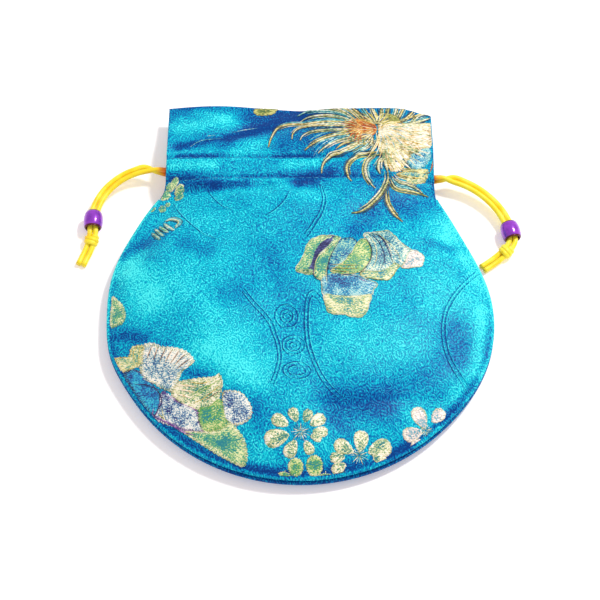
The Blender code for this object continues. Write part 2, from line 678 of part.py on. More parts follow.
def main():
    """Build the pouch."""
    clear_scene()
    pouch = new_collection("brocade_pouch")
    cutters = new_collection("cutters")
    front_rows = panel_rows(FRONT_BODY_ROWS, FRONT_HEADER_ROWS)
    back_rows = panel_rows(BACK_BODY_ROWS, BACK_HEADER_ROWS)
    panel("front_panel", FRONT_COLUMNS, front_rows, front_height, -1, 0.0, pouch)
    panel("back_panel", BACK_COLUMNS, back_rows, back_height, 1, BACK_ROLL, pouch)
    drawcord("drawcord_left", LEFT_PAIR, LEFT_CASING, cutters, pouch)
    drawcord("drawcord_right", RIGHT_PAIR, RIGHT_CASING, cutters, pouch)
    bead("bead_left", LEFT_BEND, pouch)
    bead("bead_right", RIGHT_BEND, pouch)
    layer = thread_layer(front_rows)
    for name, middle, core, swirl, count, petals in FLOWERS:
        flower(name, middle, core, swirl, count, petals, layer, cutters, pouch)
    bpy.data.objects.remove(layer, do_unlink=True)


main()
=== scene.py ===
"""Satin brocade drawstring pouch, lying on a pale table.

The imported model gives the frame. The two panels are made again from the same sizes as finer
cloth, with their seam, hem, casing and wrinkles. The woven flowers are laid on the front panel
thread by thread. The cords, their knots and the beads follow the same routes as in the model.
"""

import logging
import math
from dataclasses import dataclass, field
from enum import Enum
from typing import Dict, List, Optional, Sequence, Tuple

import bmesh
import bpy
import numpy as np
from mathutils import Matrix, Vector


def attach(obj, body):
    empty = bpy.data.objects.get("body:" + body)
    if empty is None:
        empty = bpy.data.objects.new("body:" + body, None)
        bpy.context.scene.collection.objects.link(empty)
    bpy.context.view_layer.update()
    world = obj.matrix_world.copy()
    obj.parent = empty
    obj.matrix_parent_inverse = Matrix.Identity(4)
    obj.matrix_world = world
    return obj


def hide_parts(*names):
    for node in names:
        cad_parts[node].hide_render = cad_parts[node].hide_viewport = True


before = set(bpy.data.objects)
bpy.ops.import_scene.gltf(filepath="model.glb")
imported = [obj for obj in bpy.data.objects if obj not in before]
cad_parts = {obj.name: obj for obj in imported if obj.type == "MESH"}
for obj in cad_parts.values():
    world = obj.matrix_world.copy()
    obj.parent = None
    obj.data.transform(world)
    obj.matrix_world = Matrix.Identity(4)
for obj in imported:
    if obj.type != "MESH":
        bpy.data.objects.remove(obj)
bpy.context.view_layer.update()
LOG = logging.getLogger("pouch")

Array = np.ndarray
Colour = Tuple[float, float, float]
Face = Tuple[int, ...]
Material = bpy.types.Material
Place = Tuple[float, float]
Point = Tuple[float, float, float]
Socket = bpy.types.NodeSocket
Thing = bpy.types.Object
MM = 0.001
SCALLOP_PITCH = 1.5


def linear(colour: Colour) -> Tuple[float, float, float, float]:
    """Turn a screen colour into the linear colour that a shader takes.

    Args:
        colour: Red, green and blue in percent, as they look on a screen.

    Returns:
        Linear red, green and blue, and an alpha of 1.
    """
    shares = [part / 100 for part in colour]
    red, green, blue = [share / 12.92 if share <= 0.04045 else ((share + 0.055) / 1.055) ** 2.4
                        for share in shares]
    return (red, green, blue, 1.0)


@dataclass(frozen=True)
class ThreadFinish:
    """A woven area or a single thread: its colours, from dark to light, and its grain."""

    tones: Tuple[Colour, ...]
    grain: Place = (1.0, 0.34)
    roughness: float = 0.42


class Thread(Enum):
    """The weft threads and mixed areas of the flowers."""

    GOLD = ThreadFinish(((50, 38, 12), (88, 78, 38), (99, 96, 70)))
    CREAM = ThreadFinish(((46, 62, 44), (87, 84, 62), (99, 98, 92)))
    OLIVE = ThreadFinish(((32, 36, 10), (66, 66, 28), (90, 88, 55)))
    AQUA = ThreadFinish(((5, 45, 55), (35, 78, 78), (86, 96, 90)))
    ORANGE = ThreadFinish(((66, 24, 3), (86, 46, 8), (96, 76, 34)))
    INK = ThreadFinish(((3, 4, 22), (8, 10, 38), (35, 40, 62)))
    VIOLET = ThreadFinish(((22, 6, 40), (45, 20, 58), (78, 66, 82)))
    BROWN = ThreadFinish(((42, 26, 20), (62, 46, 36), (82, 72, 60)))
    LEAF = ThreadFinish(((20, 50, 20), (48, 72, 32), (84, 90, 58)))
    MIST = ThreadFinish(((4, 40, 60), (10, 66, 76), (62, 86, 86), (95, 97, 93)))
    GOLDMIX = ThreadFinish(((2, 50, 62), (34, 66, 54), (78, 80, 50), (95, 94, 80)), (0.6, 0.36))
    EMBER = ThreadFinish(((50, 16, 4), (78, 34, 6), (62, 50, 16), (90, 74, 40)), (0.5, 0.4))
    OLIVEMIX = ThreadFinish(((16, 36, 20), (46, 54, 22), (80, 80, 48)))
    LEAFMIX = ThreadFinish(((3, 50, 56), (20, 62, 50), (52, 74, 46), (90, 92, 70)), (0.45, 0.36))
    GREENMIX = ThreadFinish(((4, 50, 56), (24, 62, 36), (54, 72, 38), (86, 88, 62)), (0.5, 0.36))
    INKMIX = ThreadFinish(((10, 10, 42), (3, 42, 66), (16, 66, 70), (70, 86, 74)), (0.40, 0.36))
    SKYMIX = ThreadFinish(((10, 16, 42), (6, 58, 70), (54, 78, 70), (94, 95, 86)), (0.40, 0.36))
    BLUEMIX = ThreadFinish(((10, 10, 42), (2, 46, 70), (10, 66, 76), (74, 90, 88)), (0.40, 0.36))
    TEALMIX = ThreadFinish(((3, 16, 46), (0, 45, 72), (2, 62, 80), (24, 78, 84)), (0.5, 0.4))
    PETALMIX = ThreadFinish(((12, 30, 52), (42, 66, 74), (86, 88, 82), (98, 97, 92)), (0.40, 0.40))
    CREAMLEAF = ThreadFinish(((6, 46, 50), (44, 66, 44), (90, 88, 68), (98, 97, 90)), (0.45, 0.4))
    VIOLETMIX = ThreadFinish(((16, 12, 42), (26, 52, 70), (78, 84, 82), (98, 98, 95)), (0.40, 0.36))
    BLUSH = ThreadFinish(((20, 62, 70), (86, 78, 74), (98, 97, 94)), (0.5, 0.5))
    # Dark teal: laid wide under the curls and sprig strokes as painted shadow, and as dark lines among
    # other threads
    SHADOW = ThreadFinish(((1, 18, 28), (1, 28, 42), (3, 42, 56)))
    PEARL = ThreadFinish(((80, 70, 38), (97, 91, 79), (100, 97, 94)), (0.8, 0.34))
    SEWING = ThreadFinish(((2, 36, 58), (5, 56, 74), (30, 78, 88)))


# The threads by their bare names, for the tables below
(GOLD, CREAM, OLIVE, AQUA, ORANGE, INK, VIOLET, BROWN, LEAF, MIST, GOLDMIX, EMBER, OLIVEMIX, LEAFMIX,
 GREENMIX, INKMIX, SKYMIX, BLUEMIX, TEALMIX, PETALMIX, CREAMLEAF, VIOLETMIX, BLUSH, SHADOW, PEARL,
 SEWING) = Thread


@dataclass(frozen=True)
class Blossom:
    """A small flower or sprig of oval petals, all filled with one thread.

    Where it has a heart, a petal is x, y and size and points away from the heart. Where it has
    none, a petal is x, y, two radii and a turn in degrees. Lengths are in millimetres.
    """

    node: str
    thread: Thread
    petals: Tuple[Tuple[float, ...], ...]
    heart: Optional[Place] = None
    reach: float = 0.0


# Waves of the sewn edge: side, height above the middle, spread, rise
RIM_WAVES = ((1, 0.0254, 0.013, -0.0035), (1, -0.0222, 0.014, 0.0014),
             (-1, 0.0263, 0.008, -0.0011), (-1, -0.0175, 0.007, 0.0011))
# Waves of the mouth: place, spread, rise
MOUTH_WAVES = ((-0.030, 0.009, 0.0005), (0.001, 0.012, -0.0014), (0.044, 0.005, -0.0032))
# Large folds: x and y of start and end in radii of the rim, spread and rise in metres
FOLDS = (
    (-0.489, 1.031, -0.421, 1.056, 0.007, 0.001), (-0.674, 0.939, 0.0, 1.124, 0.0028, -0.0012),
    (-0.708, 0.896, -0.135, 0.905, 0.0014, -0.0006), (0.101, 0.972, 0.236, 1.04, 0.006, 0.0008),
    (-0.708, 0.669, -0.202, 0.677, 0.0028, -0.0012), (0.0, 0.677, 0.152, 0.618, 0.0026, -0.001),
    (0.32, 0.484, 0.404, 0.366, 0.0036, -0.0009), (-0.826, 0.13, -0.741, -0.005, 0.008, 0.001),
    (-0.741, 0.568, -0.876, 0.315, 0.0036, -0.0009), (-0.438, -0.342, -0.303, -0.426, 0.0095, 0.0009),
    (0.809, -0.291, 0.741, -0.056, 0.0042, -0.0011), (0.792, 0.366, 0.826, 0.298, 0.006, 0.0008),
    (0.168, -0.679, 0.64, -0.595, 0.005, -0.0008),
)
# Slack of the cloth: height, waves across and along, phase
SLACK = ((0.00022, 150, 70, 0.3), (0.00018, 95, -210, 1.2), (0.00010, 330, 180, 2.2),
         (0.00008, 220, -420, 0.8))
# Sharper creases: x and y of start and end and spread in tenths of a mm, rise in mm
CREASES = (
    (-420, 535, -140, 550, 7, -0.22), (-420, 486, -200, 494, 6, -0.18),
    (-240, 605, -80, 620, 6, -0.15), (-400, 330, -140, 322, 8, -0.22), (-20, 335, 120, 310, 7, -0.18),
    (180, 310, 260, 210, 8, -0.2), (430, 200, 530, 80, 9, -0.22), (-500, 260, -540, 100, 8, -0.2),
    (60, -440, 380, -410, 9, -0.18), (440, -220, 560, -80, 9, -0.22),
)
# Middle lines of the cord pairs from their ends to the slits, and of the runs in the casings,
# in millimetres
LEFT_PAIR = (
    (-69.6, 10.5, 1.0), (-68.9, 12.5, 1.0), (-68.0, 14.7, 1.1), (-67.2, 16.9, 1.5),
    (-66.6, 19.1, 2.1), (-66.3, 21.3, 2.8), (-66.3, 23.5, 3.1), (-66.3, 25.8, 3.15),
    (-65.9, 29.7, 3.2), (-64.7, 33.45, 3.35), (-62.75, 36.85, 3.6), (-60.15, 39.75, 3.9),
    (-57.0, 42.1, 4.3), (-53.4, 43.7, 4.7), (-50.25, 44.4, 5.1),
)
LEFT_CASING = (
    (-46.6, 44.5, 6.9), (-43.0, 43.3, 8.5), (-38.5, 42.9, 9.3), (-30.0, 42.9, 9.9),
    (-15.0, 42.9, 9.95), (0.0, 42.9, 9.95), (15.0, 42.9, 9.95), (30.0, 42.9, 9.95),
    (37.0, 42.9, 9.35), (39.8, 42.9, 8.1), (40.9, 42.9, 5.7), (39.8, 42.9, 2.9),
    (37.0, 42.9, 1.75), (30.0, 42.9, 1.65), (15.0, 42.9, 1.65), (0.0, 42.9, 1.65),
    (-15.0, 42.9, 1.65), (-30.0, 42.9, 1.65), (-38.5, 42.8, 1.65), (-43.0, 42.7, 2.1),
    (-46.6, 43.0, 3.6),
)
RIGHT_PAIR = (
    (57.9, 9.1, 1.0), (59.9, 10.5, 1.0), (61.9, 12.0, 1.1), (63.8, 13.5, 1.5),
    (65.6, 15.0, 2.1), (67.0, 16.7, 2.8), (67.8, 18.8, 3.1), (67.35, 21.7, 3.15),
    (66.25, 25.3, 3.25), (64.6, 28.85, 3.45), (62.4, 32.05, 3.65), (59.7, 34.9, 3.95),
    (56.65, 37.3, 4.25), (53.2, 39.15, 4.6), (49.55, 40.45, 5.0),
)
RIGHT_CASING = (
    (46.4, 41.4, 6.5), (43.0, 40.7, 7.6), (38.5, 40.4, 8.6), (30.0, 40.4, 9.75),
    (15.0, 40.4, 9.95), (0.0, 40.4, 9.95), (-15.0, 40.4, 9.95), (-30.0, 40.4, 9.85),
    (-37.0, 40.4, 9.05), (-39.8, 40.4, 7.9), (-40.9, 40.4, 5.7), (-39.8, 40.4, 2.9),
    (-37.0, 40.4, 1.75), (-30.0, 40.4, 1.65), (-15.0, 40.4, 1.65), (0.0, 40.4, 1.65),
    (15.0, 40.4, 1.65), (30.0, 40.4, 1.65), (38.5, 40.3, 1.65), (43.0, 40.2, 2.1),
    (46.4, 39.9, 3.6),
)
# Bends that the beads slide on: middle and radius in millimetres, tilt and place in radians
LEFT_BEND = ((-47.64, 25.8, 5.44), 18.8, math.radians(7), math.radians(180))
RIGHT_BEND = ((43.14, 16.4, 5.69), 24.9, math.radians(-6), math.radians(12.3))
# Threads that spread from a centre: centre, directions, reach, count, curl, threads, width
CHRYSANTHEMUM_FANS = (
    ((20.5, 56.6), (118, 252), (0.4, 7.5), 22, 14, (ORANGE, GOLD, EMBER), 0.42),
    ((26.0, 57.5), (-98, 10), (1.0, 16.5), 36, -16, (PEARL, GOLD, PEARL, PEARL, MIST), 0.36),
    ((22.0, 57.0), (142, 204), (5.0, 21.0), 22, 12, (AQUA, SHADOW, MIST), 0.44, 0.0),
    ((25.0, 58.5), (20, 150), (0.6, 7.5), 20, 10, (OLIVE, GOLD, SHADOW), 0.46),
    ((29.0, 50.0), (-120, -10), (0.5, 10.5), 18, 16, (CREAM, GOLD), 0.4),
    ((24.0, 54.0), (170, 262), (0.8, 6.0), 14, 18, (GOLD, SHADOW, CREAM), 0.4),
)
# Single threads at the neck's right edge and across the header's left part, as below; the EMBER line at
# the neck's right edge is painted shade along the slit's edge
LOOSE_THREADS = (
    (SEWING, 0.3, 3, 512, 42, 472, 71, 434),
    # Painted shade along the right slit's edge
    (EMBER, 0.6, 434, 471, 428, 432, 418, 400),
    (AQUA, 0.3, -356, 495, -324, 518, -292, 524, -255, 529),
    (AQUA, 0.26, -302, 539, -273, 544),
    (MIST, 0.28, -221, 555, -179, 569, -137, 580),
)
# Plain nested ovals between the ogee lines: x and y of the middle, two radii, in mm
MEDALLION = (
    (-2.1, -25.2, 3.4, 3.3), (-2.1, -25.2, 2.3, 2.1), (-2.1, -25.2, 1.1, 0.9), (-1.0, -33.8, 4.2, 2.7),
    (-1.0, -33.8, 2.8, 1.5), (-4.1, -15.0, 1.2, 1.0),
)
# Hearts that the veins of the large flowers run to, in mm
CHRYSANTHEMUM_HEART = (26.0, 57.0)
IRIS_HEART = (9.0, -0.8)
PEONY_HEART = (-42.5, -37.5)
# Chrysanthemum petals: thread, width in mm, x and y of the middle line in tenths of a mm
CHRYSANTHEMUM_CURLS = (
    (GOLD, 0.85, 196, 572, 152, 594, 95, 599, 28, 597, -34, 598, -73, 581, -92, 534, -102, 489),
    (GOLD, 0.74, 193, 563, 140, 577, 84, 580, 28, 582, -6, 573, -23, 547, -26, 520),
    (CREAM, 0.74, 196, 556, 140, 561, 84, 559, 39, 553, 11, 536, 0, 513),
    (GOLD, 0.8, 196, 548, 151, 541, 100, 529, 61, 510, 33, 489, 15, 471),
    (CREAM, 0.74, 201, 536, 162, 525, 117, 507, 83, 485, 58, 461),
    (GOLD, 0.64, 198, 525, 167, 508, 139, 497, 116, 476),
    (CREAM, 0.74, 191, 580, 152, 611, 107, 628, 62, 629, 22, 623, 0, 608),
    (AQUA, 0.69, 188, 588, 152, 627, 107, 646, 62, 650, 22, 647, -9, 632),
    (CREAM, 0.64, 185, 596, 152, 639, 119, 658, 79, 666, 45, 663),
    (GOLD, 0.64, 197, 605, 169, 640, 147, 658, 119, 668),
    (GOLD, 0.64, 211, 609, 192, 640, 170, 662),
    (AQUA, 0.64, 231, 610, 215, 641, 204, 663),
    (CREAM, 0.64, 248, 615, 240, 645, 235, 664),
    (OLIVE, 0.64, 268, 627, 266, 650, 272, 664),
    (OLIVE, 0.69, 288, 628, 289, 650, 295, 665),
    (CREAM, 0.64, 308, 629, 314, 651, 317, 666),
    (GOLD, 0.69, 322, 617, 334, 645, 343, 667),
    (GOLD, 0.69, 332, 602, 356, 630, 374, 654),
    (CREAM, 0.69, 360, 587, 378, 616, 393, 634, 416, 643, 435, 642, 435, 626),
    (AQUA, 0.64, 380, 598, 395, 617, 418, 625),
    (CREAM, 0.74, 359, 574, 388, 585, 422, 594),
    (GOLD, 0.85, 240, 515, 200, 499, 161, 480, 127, 462, 100, 455, 80, 431, 71, 408, 69, 384),
    (GOLD, 0.85, 247, 468, 216, 462, 189, 457, 163, 435, 150, 408, 153, 379, 164, 353),
    (CREAM, 0.85, 258, 459, 233, 452, 216, 428, 209, 398, 215, 369, 228, 341, 241, 327),
    (CREAM, 0.85, 266, 452, 255, 431, 251, 404, 257, 382),
    (OLIVE, 0.95, 281, 391, 281, 360, 266, 321, 243, 286, 218, 259, 191, 239, 163, 231),
    (GOLD, 0.8, 274, 321, 276, 283, 289, 251, 305, 226, 324, 207),
    (OLIVE, 0.8, 287, 370, 300, 339, 319, 330, 347, 329, 375, 329, 412, 324),
    (CREAM, 0.8, 295, 376, 319, 354, 347, 350, 370, 345, 395, 331),
    (GOLD, 0.74, 309, 384, 337, 379, 365, 378, 398, 381),
    (GOLD, 0.69, 320, 400, 354, 397, 382, 398, 407, 395),
    (AQUA, 0.64, 229, 538, 195, 499, 172, 477, 139, 465),
    (CREAM, 0.53, 240, 523, 222, 492, 194, 471),
    (CREAM, 0.53, 251, 516, 239, 486, 227, 465),
    (GOLD, 0.64, 262, 508, 258, 479, 262, 459),
    (AQUA, 0.64, 229, 515, 206, 485, 172, 462),
    (CREAM, 0.53, 218, 526, 184, 505, 150, 487),
    (ORANGE, 0.64, 241, 575, 219, 585, 197, 600, 177, 608),
    (ORANGE, 0.74, 238, 570, 213, 573, 191, 580, 168, 582),
    (ORANGE, 0.74, 238, 564, 213, 561, 187, 559, 162, 562),
    (ORANGE, 0.74, 238, 558, 215, 545, 190, 535, 167, 527),
    (ORANGE, 0.64, 239, 550, 223, 534, 201, 517, 178, 505),
    (ORANGE, 0.64, 247, 583, 231, 602, 214, 614, 203, 621),
    (ORANGE, 0.58, 249, 567, 230, 568, 207, 567),
    (GOLD, 0.85, 264, 580, 287, 597, 315, 601, 343, 594),
    (GOLD, 0.74, 255, 555, 257, 531, 255, 501, 256, 465),
    (GOLD, 0.64, 273, 516, 278, 479, 283, 455, 290, 418),
    (OLIVE, 0.74, 256, 595, 268, 616, 282, 624, 305, 617),
    (OLIVE, 0.74, 259, 588, 276, 604, 296, 611, 316, 609),
    (OLIVE, 0.64, 248, 603, 260, 627, 280, 637, 299, 634),
    (GOLD, 0.53, 266, 568, 321, 602, 377, 632, 424, 654),
    (CREAM, 1.17, 266, 563, 323, 580, 380, 603, 429, 627),
    (CREAM, 1.17, 266, 558, 324, 577, 382, 591, 430, 601),
    (GOLD, 0.53, 266, 553, 324, 554, 382, 559, 428, 569),
    (CREAM, 1.17, 266, 548, 324, 550, 381, 548, 426, 541),
    (CREAM, 1.17, 266, 544, 322, 528, 379, 516, 425, 510),
    (GOLD, 0.53, 266, 539, 321, 525, 375, 505, 422, 486),
    (CREAM, 1.17, 265, 534, 318, 503, 370, 477, 415, 462),
    (CREAM, 1.17, 265, 529, 315, 501, 365, 469, 408, 447),
    (GOLD, 0.53, 265, 525, 309, 483, 353, 453, 390, 428),
    (CREAM, 1.17, 265, 520, 303, 484, 341, 451, 373, 417),
    (CREAM, 1.17, 265, 515, 296, 469, 328, 431, 355, 406),
    (GOLD, 0.53, 265, 511, 290, 472, 316, 433, 338, 400),
    (CREAM, 1.17, 265, 506, 284, 461, 304, 421, 322, 393),
    (CREAM, 1.17, 264, 502, 279, 465, 294, 426, 306, 391),
    (GOLD, 0.53, 264, 497, 274, 457, 284, 417, 292, 390),
    (CREAM, 1.17, 264, 493, 270, 461, 275, 426, 280, 393),
)

# Closed fields: filling, edge thread, x and y of the outline in tenths of a mm
CHRYSANTHEMUM_FIELDS = (
    (PEARL, GOLD, 259, 610, 304, 613, 343, 597, 377, 593, 428, 594, 424, 495, 395, 480, 361, 460, 340,
     426, 326, 400, 298, 392, 282, 411, 272, 455, 261, 493, 255, 547),
    (BLUEMIX, AQUA, 352, 455, 378, 469, 412, 484, 421, 464, 419, 446, 404, 422, 373, 405, 348, 424),
    (GOLDMIX, GOLD, 326, 394, 359, 404, 410, 408, 408, 382, 393, 367, 359, 358, 331, 374, 309, 381),
    (EMBER, ORANGE, 169, 607, 197, 613, 231, 602, 250, 571, 237, 538, 206, 525, 176, 535, 168, 566),
    (OLIVEMIX, OLIVE, 254, 619, 283, 639, 316, 629, 327, 606, 298, 593, 264, 589),
)

IRIS_FIELDS = (
    (LEAFMIX, CREAM, -14, 14, 8, 57, 25, 109, 52, 131, 83, 137, 110, 136, 127, 130, 106, 103, 82, 81,
     58, 61, 47, 38, 41, 14, 41, -6, 18, -6, 3, -1),
    (INK, INK, 110, 133, 89, 132, 65, 117, 45, 85, 36, 54, 28, 22, 23, 3, 40, 3, 41, 34, 55, 63, 75, 83,
     99, 109),
    (LEAFMIX, CREAM, 126, 127, 110, 117, 82, 89, 60, 65, 48, 42, 44, 14, 45, -13, 65, -29, 85, -44, 83,
     -13, 85, 22, 95, 58, 109, 93),
    (INKMIX, INK, 127, 124, 144, 128, 166, 131, 177, 112, 170, 91, 156, 70, 143, 50, 122, 26, 95, 10,
     87, 18, 95, 58, 111, 95),
    (GREENMIX, CREAM, 177, 111, 198, 133, 213, 121, 222, 94, 222, 61, 211, 32, 191, 8, 162, -2, 122, -6,
     95, 3, 109, 18, 136, 40, 160, 72),
    (SKYMIX, CREAM, 198, 146, 214, 158, 247, 164, 277, 167, 297, 146, 324, 114, 351, 96, 343, 70, 332,
     48, 308, 32, 294, 45, 277, 23, 243, 8, 199, 8, 215, 40, 224, 77, 218, 111),
    (BLUSH, CREAM, 344, 93, 374, 91, 387, 71, 379, 41, 355, 33, 331, 27, 316, 28, 325, 48),
    (GOLDMIX, OLIVE, 185, -8, 199, 7, 243, 9, 277, 23, 294, 44, 308, 34, 293, 8, 276, -17, 242, -21,
     209, -16),
    (BLUEMIX, CREAM, 66, -23, 87, -9, 112, -3, 142, -11, 175, -7, 195, -13, 212, -24, 239, -37, 225,
     -59, 218, -80, 141, -85, 74, -81, 69, -60),
    (GOLDMIX, CREAM, 74, -79, 108, -81, 141, -85, 181, -83, 218, -78, 214, -101, 207, -128, 190, -155,
     153, -155, 140, -148, 94, -144, 81, -125),
)

PEONY_FIELDS = (
    (GOLDMIX, GOLD, -571, -258, -550, -256, -524, -259, -517, -234, -502, -228, -479, -232, -478, -266,
     -484, -291, -511, -301, -536, -307, -557, -282),
    (TEALMIX, INK, -536, -307, -502, -304, -476, -325, -442, -363, -423, -390, -422, -427, -438, -460,
     -465, -432, -496, -392, -522, -346),
    (PETALMIX, CREAM, -479, -232, -450, -228, -421, -242, -391, -248, -362, -256, -337, -272, -320,
     -299, -336, -315, -353, -325, -364, -349, -376, -372, -388, -387, -417, -375, -442, -355, -468,
     -343, -485, -316, -486, -282),
    (CREAMLEAF, CREAM, -388, -387, -372, -364, -360, -358, -323, -355, -295, -354, -258, -355, -242,
     -348, -232, -377, -238, -405, -245, -429, -269, -447, -302, -452, -334, -445, -359, -426, -384,
     -404),
    (VIOLETMIX, VIOLET, -417, -383, -384, -404, -359, -426, -318, -447, -301, -464, -297, -492, -285,
     -520, -317, -517, -345, -510, -374, -495, -407, -480, -438, -460, -426, -430),
    (GREENMIX, LEAF, -302, -448, -269, -443, -241, -425, -221, -458, -208, -490, -216, -509, -256, -516,
     -289, -517, -303, -483),
    (LEAFMIX, CREAM, -281, -516, -244, -515, -208, -498, -184, -519, -164, -550, -156, -596, -168, -622,
     -204, -608, -244, -585, -284, -559, -333, -525, -345, -511),
)

BUD_FIELDS = (
    (VIOLETMIX, GOLD, -231, -406, -197, -404, -169, -417, -145, -454, -148, -485, -172, -500, -196,
     -503, -221, -490, -231, -458),
)

EDGE_FIELDS = (
    (LEAFMIX, CREAM, -585, -39, -567, -57, -549, -82, -538, -117, -546, -143, -563, -148, -584, -148,
     -588, -109, -586, -71),
    (OLIVEMIX, OLIVE, -151, 654, -113, 659, -75, 660, -91, 636, -140, 631),
)

# Small blossoms and the upper sprig
BLOSSOMS = (
    Blossom("blossom_1", CREAMLEAF, (
        (-5.9, -49.5, 4.02), (-1.8, -47.6, 3.24), (2.2, -47.8, 2.95), (5.2, -49.1, 3.84),
        (6.0, -52.5, 3.37), (4.8, -54.2, 2.63), (2.5, -57.2, 3.15), (-2.6, -57.6, 4.07),
        (-6.9, -54.4, 5.53)), (0.2, -52.6), 3.1),
    Blossom("blossom_2", CREAMLEAF, (
        (13.0, -56.9, 4.49), (18.1, -54.9, 4.57), (23.7, -56.8, 5.39), (23.7, -59.8, 2.91),
        (11.1, -59.9, 3.22), (11.5, -62.8, 3.44)), (17.6, -59.0), 2.9),
    Blossom("blossom_3", BLUSH, (
        (36.0, -46.7, 4.86), (41.4, -45.7, 3.94), (33.6, -51.8, 4.47),
        (34.8, -54.8, 3.03)), (37.6, -50.4), 2.4),
    Blossom("blossom_4", GREENMIX, (
        (-1.3, -62.7, 2.08, 2.31, 0), (4.3, -62.3, 2.26, 2.71, 0), (-4.6, -64.7, 1.63, 0.6, -10),
        (7.6, -64.9, 1.63, 0.45, 0), (12.2, -64.7, 1.45, 0.45, 8))),
    Blossom("sprig_upper", LEAFMIX, (
        (-40.7, 36.3, 2.15, 1.1, 50), (-38.7, 34.2, 1.65, 1.37, 60), (-38.8, 32.2, 1.4, 1.19, 20),
        (-42.1, 35.9, 1.24, 0.73, 60), (-43.4, 33.2, 1.73, 1.37, 20), (-44.0, 28.2, 1.07, 1.19, 0),
        (-42.3, 29.8, 0.74, 0.73, 0), (-47.2, 28.4, 0.99, 0.64, 30))),
)

# Single threads: thread, width in mm, x and y of the line in tenths of a mm
SPRIG_STROKES = (
    (CREAM, 0.42, -467, 185, -456, 169, -443, 152),
    (CREAM, 0.42, -458, 199, -446, 181, -432, 165),
    (LEAF, 0.42, -443, 205, -431, 189, -418, 178),
    (CREAM, 0.42, -429, 215, -417, 197, -400, 183),
    (CREAM, 0.5, -423, 225, -408, 228, -390, 219, -384, 208, -395, 194),
)
IRIS_STROKES = (
    (INK, 0.28, 200, 145, 218, 111, 224, 77, 215, 40, 199, 16, 180, -5),
    (INK, 0.3, 214, 157, 241, 131, 258, 92, 263, 55, 250, 18),
    (INK, 0.42, 223, 156, 250, 145, 269, 110, 282, 69, 288, 46),
    (CREAM, 0.34, 205, 152, 230, 121, 239, 82, 235, 45, 219, 12),
    (CREAM, 0.3, 241, 161, 266, 128, 281, 94, 287, 65),
    (CREAM, 0.3, 260, 141, 286, 107, 309, 71, 311, 46),
    (INK, 0.24, 111, 95, 95, 58, 86, 22, 84, -9, 86, -40),
    (INK, 0.24, 50, 42, 43, 14, 42, -9, 55, -27, 75, -31),
    (CREAM, 0.34, 120, 118, 89, 87, 60, 61, 48, 34, 45, 3),
    (INK, 0.28, 108, -4, 125, -11, 142, -8, 179, -16, 212, -26),
    (CREAM, 0.3, 82, 18, 80, -9, 83, -36),
    (VIOLET, 0.36, 182, -20, 195, -28, 208, -32),
    (GOLD, 0.24, 95, 26, 125, 27, 156, 25, 183, 27),
    (GOLD, 0.24, 93, 15, 125, 14, 156, 14, 182, 16),
    (GOLD, 0.24, 98, 6, 129, 3, 155, 4),
    (CREAM, 0.26, 1, 8, 18, 8, 35, 7),
    (CREAM, 0.26, 3, 1, 18, -1, 36, -1),
)
PEONY_STROKES = (
    (INK, 0.34, -501, -350, -467, -357, -442, -369, -417, -383),
    (INK, 0.34, -423, -386, -416, -415, -428, -438, -440, -456),
    (VIOLET, 0.5, -438, -458, -403, -476, -370, -498, -341, -516, -309, -525),
    (VIOLET, 0.4, -441, -432, -444, -451, -436, -460),
    (BROWN, 0.34, -450, -236, -458, -257, -465, -277),
    (BROWN, 0.34, -431, -243, -439, -264, -444, -284),
    (BROWN, 0.34, -408, -251, -418, -271, -426, -291),
    (BROWN, 0.34, -387, -255, -399, -275, -409, -295),
    (BROWN, 0.34, -366, -262, -380, -282, -394, -301),
    (BROWN, 0.34, -348, -275, -366, -292, -382, -309),
    (BROWN, 0.34, -333, -292, -353, -304, -373, -319),
    (GOLD, 0.24, -504, -230, -508, -253, -503, -288),
    (GOLD, 0.24, -488, -233, -491, -260, -492, -289),
    (LEAF, 0.3, -246, -368, -274, -386, -302, -404, -326, -422),
    (GOLD, 0.3, -240, -385, -266, -403, -294, -421, -318, -431),
    (BROWN, 0.24, -242, -401, -266, -415, -290, -429),
    (PEARL, 0.6, -369, -372, -342, -374, -310, -382),
    (PEARL, 0.6, -366, -384, -340, -390, -314, -398),
    (PEARL, 0.55, -369, -398, -346, -406, -326, -414),
    (GOLD, 0.34, -330, -366, -298, -372, -268, -369),
    (GREENMIX, 0.5, -326, -406, -298, -390, -260, -376),
    (CREAM, 0.34, -241, -352, -233, -377, -236, -401, -225, -418),
    (CREAM, 0.34, -416, -433, -411, -456, -399, -485),
    (OLIVE, 0.3, -426, -450, -413, -463, -403, -470),
)

# Tone-on-tone lines of the ogee lattice: x and y in tenths of a mm
OGEES = (
    (-295, 332, -275, 296, -248, 263, -216, 244),
    (-406, 300, -385, 254, -358, 214, -327, 177, -296, 147, -253, 127),
    (-35, 308, -50, 268, -78, 235, -109, 211),
    (-171, -57, -141, -100, -108, -138, -83, -176, -73, -204),
    (-179, -67, -149, -110, -116, -148, -93, -185, -83, -211),
    (66, -89, 54, -72, 39, -63, 24, -74, 16, -104, 13, -161, 15, -212, 21, -258, 36, -307, 57, -354, 88,
     -397, 121, -424),
    (63, -109, 51, -89, 39, -83, 30, -93, 26, -120, 24, -166, 26, -212, 32, -255, 46, -302, 67, -347,
     97, -388, 130, -418),
    (566, 49, 520, -6, 481, -60, 456, -110, 445, -158, 446, -208, 455, -256, 476, -302, 501, -341, 519,
     -372),
    (553, 53, 509, -2, 471, -55, 446, -106, 434, -160, 434, -213, 444, -263, 464, -310, 489, -348, 507,
     -377),
    (-88, -162, -78, -198, -63, -244, -57, -294, -63, -337, -79, -384),
    (-98, -167, -88, -203, -73, -249, -67, -294, -73, -335, -89, -380),
    (71, 337, 81, 278, 70, 223, 45, 172, 23, 133),
    (62, 342, 71, 280, 61, 228, 36, 180, 14, 143),
    (-42, -109, -20, -120, -7, -145, -13, -176, -35, -190, -60, -185, -76, -161, -75, -133, -58, -112,
     -42, -109),
    (-42, -127, -29, -133, -22, -148, -27, -166, -41, -173, -56, -166, -61, -150, -56, -134, -42, -127),
)
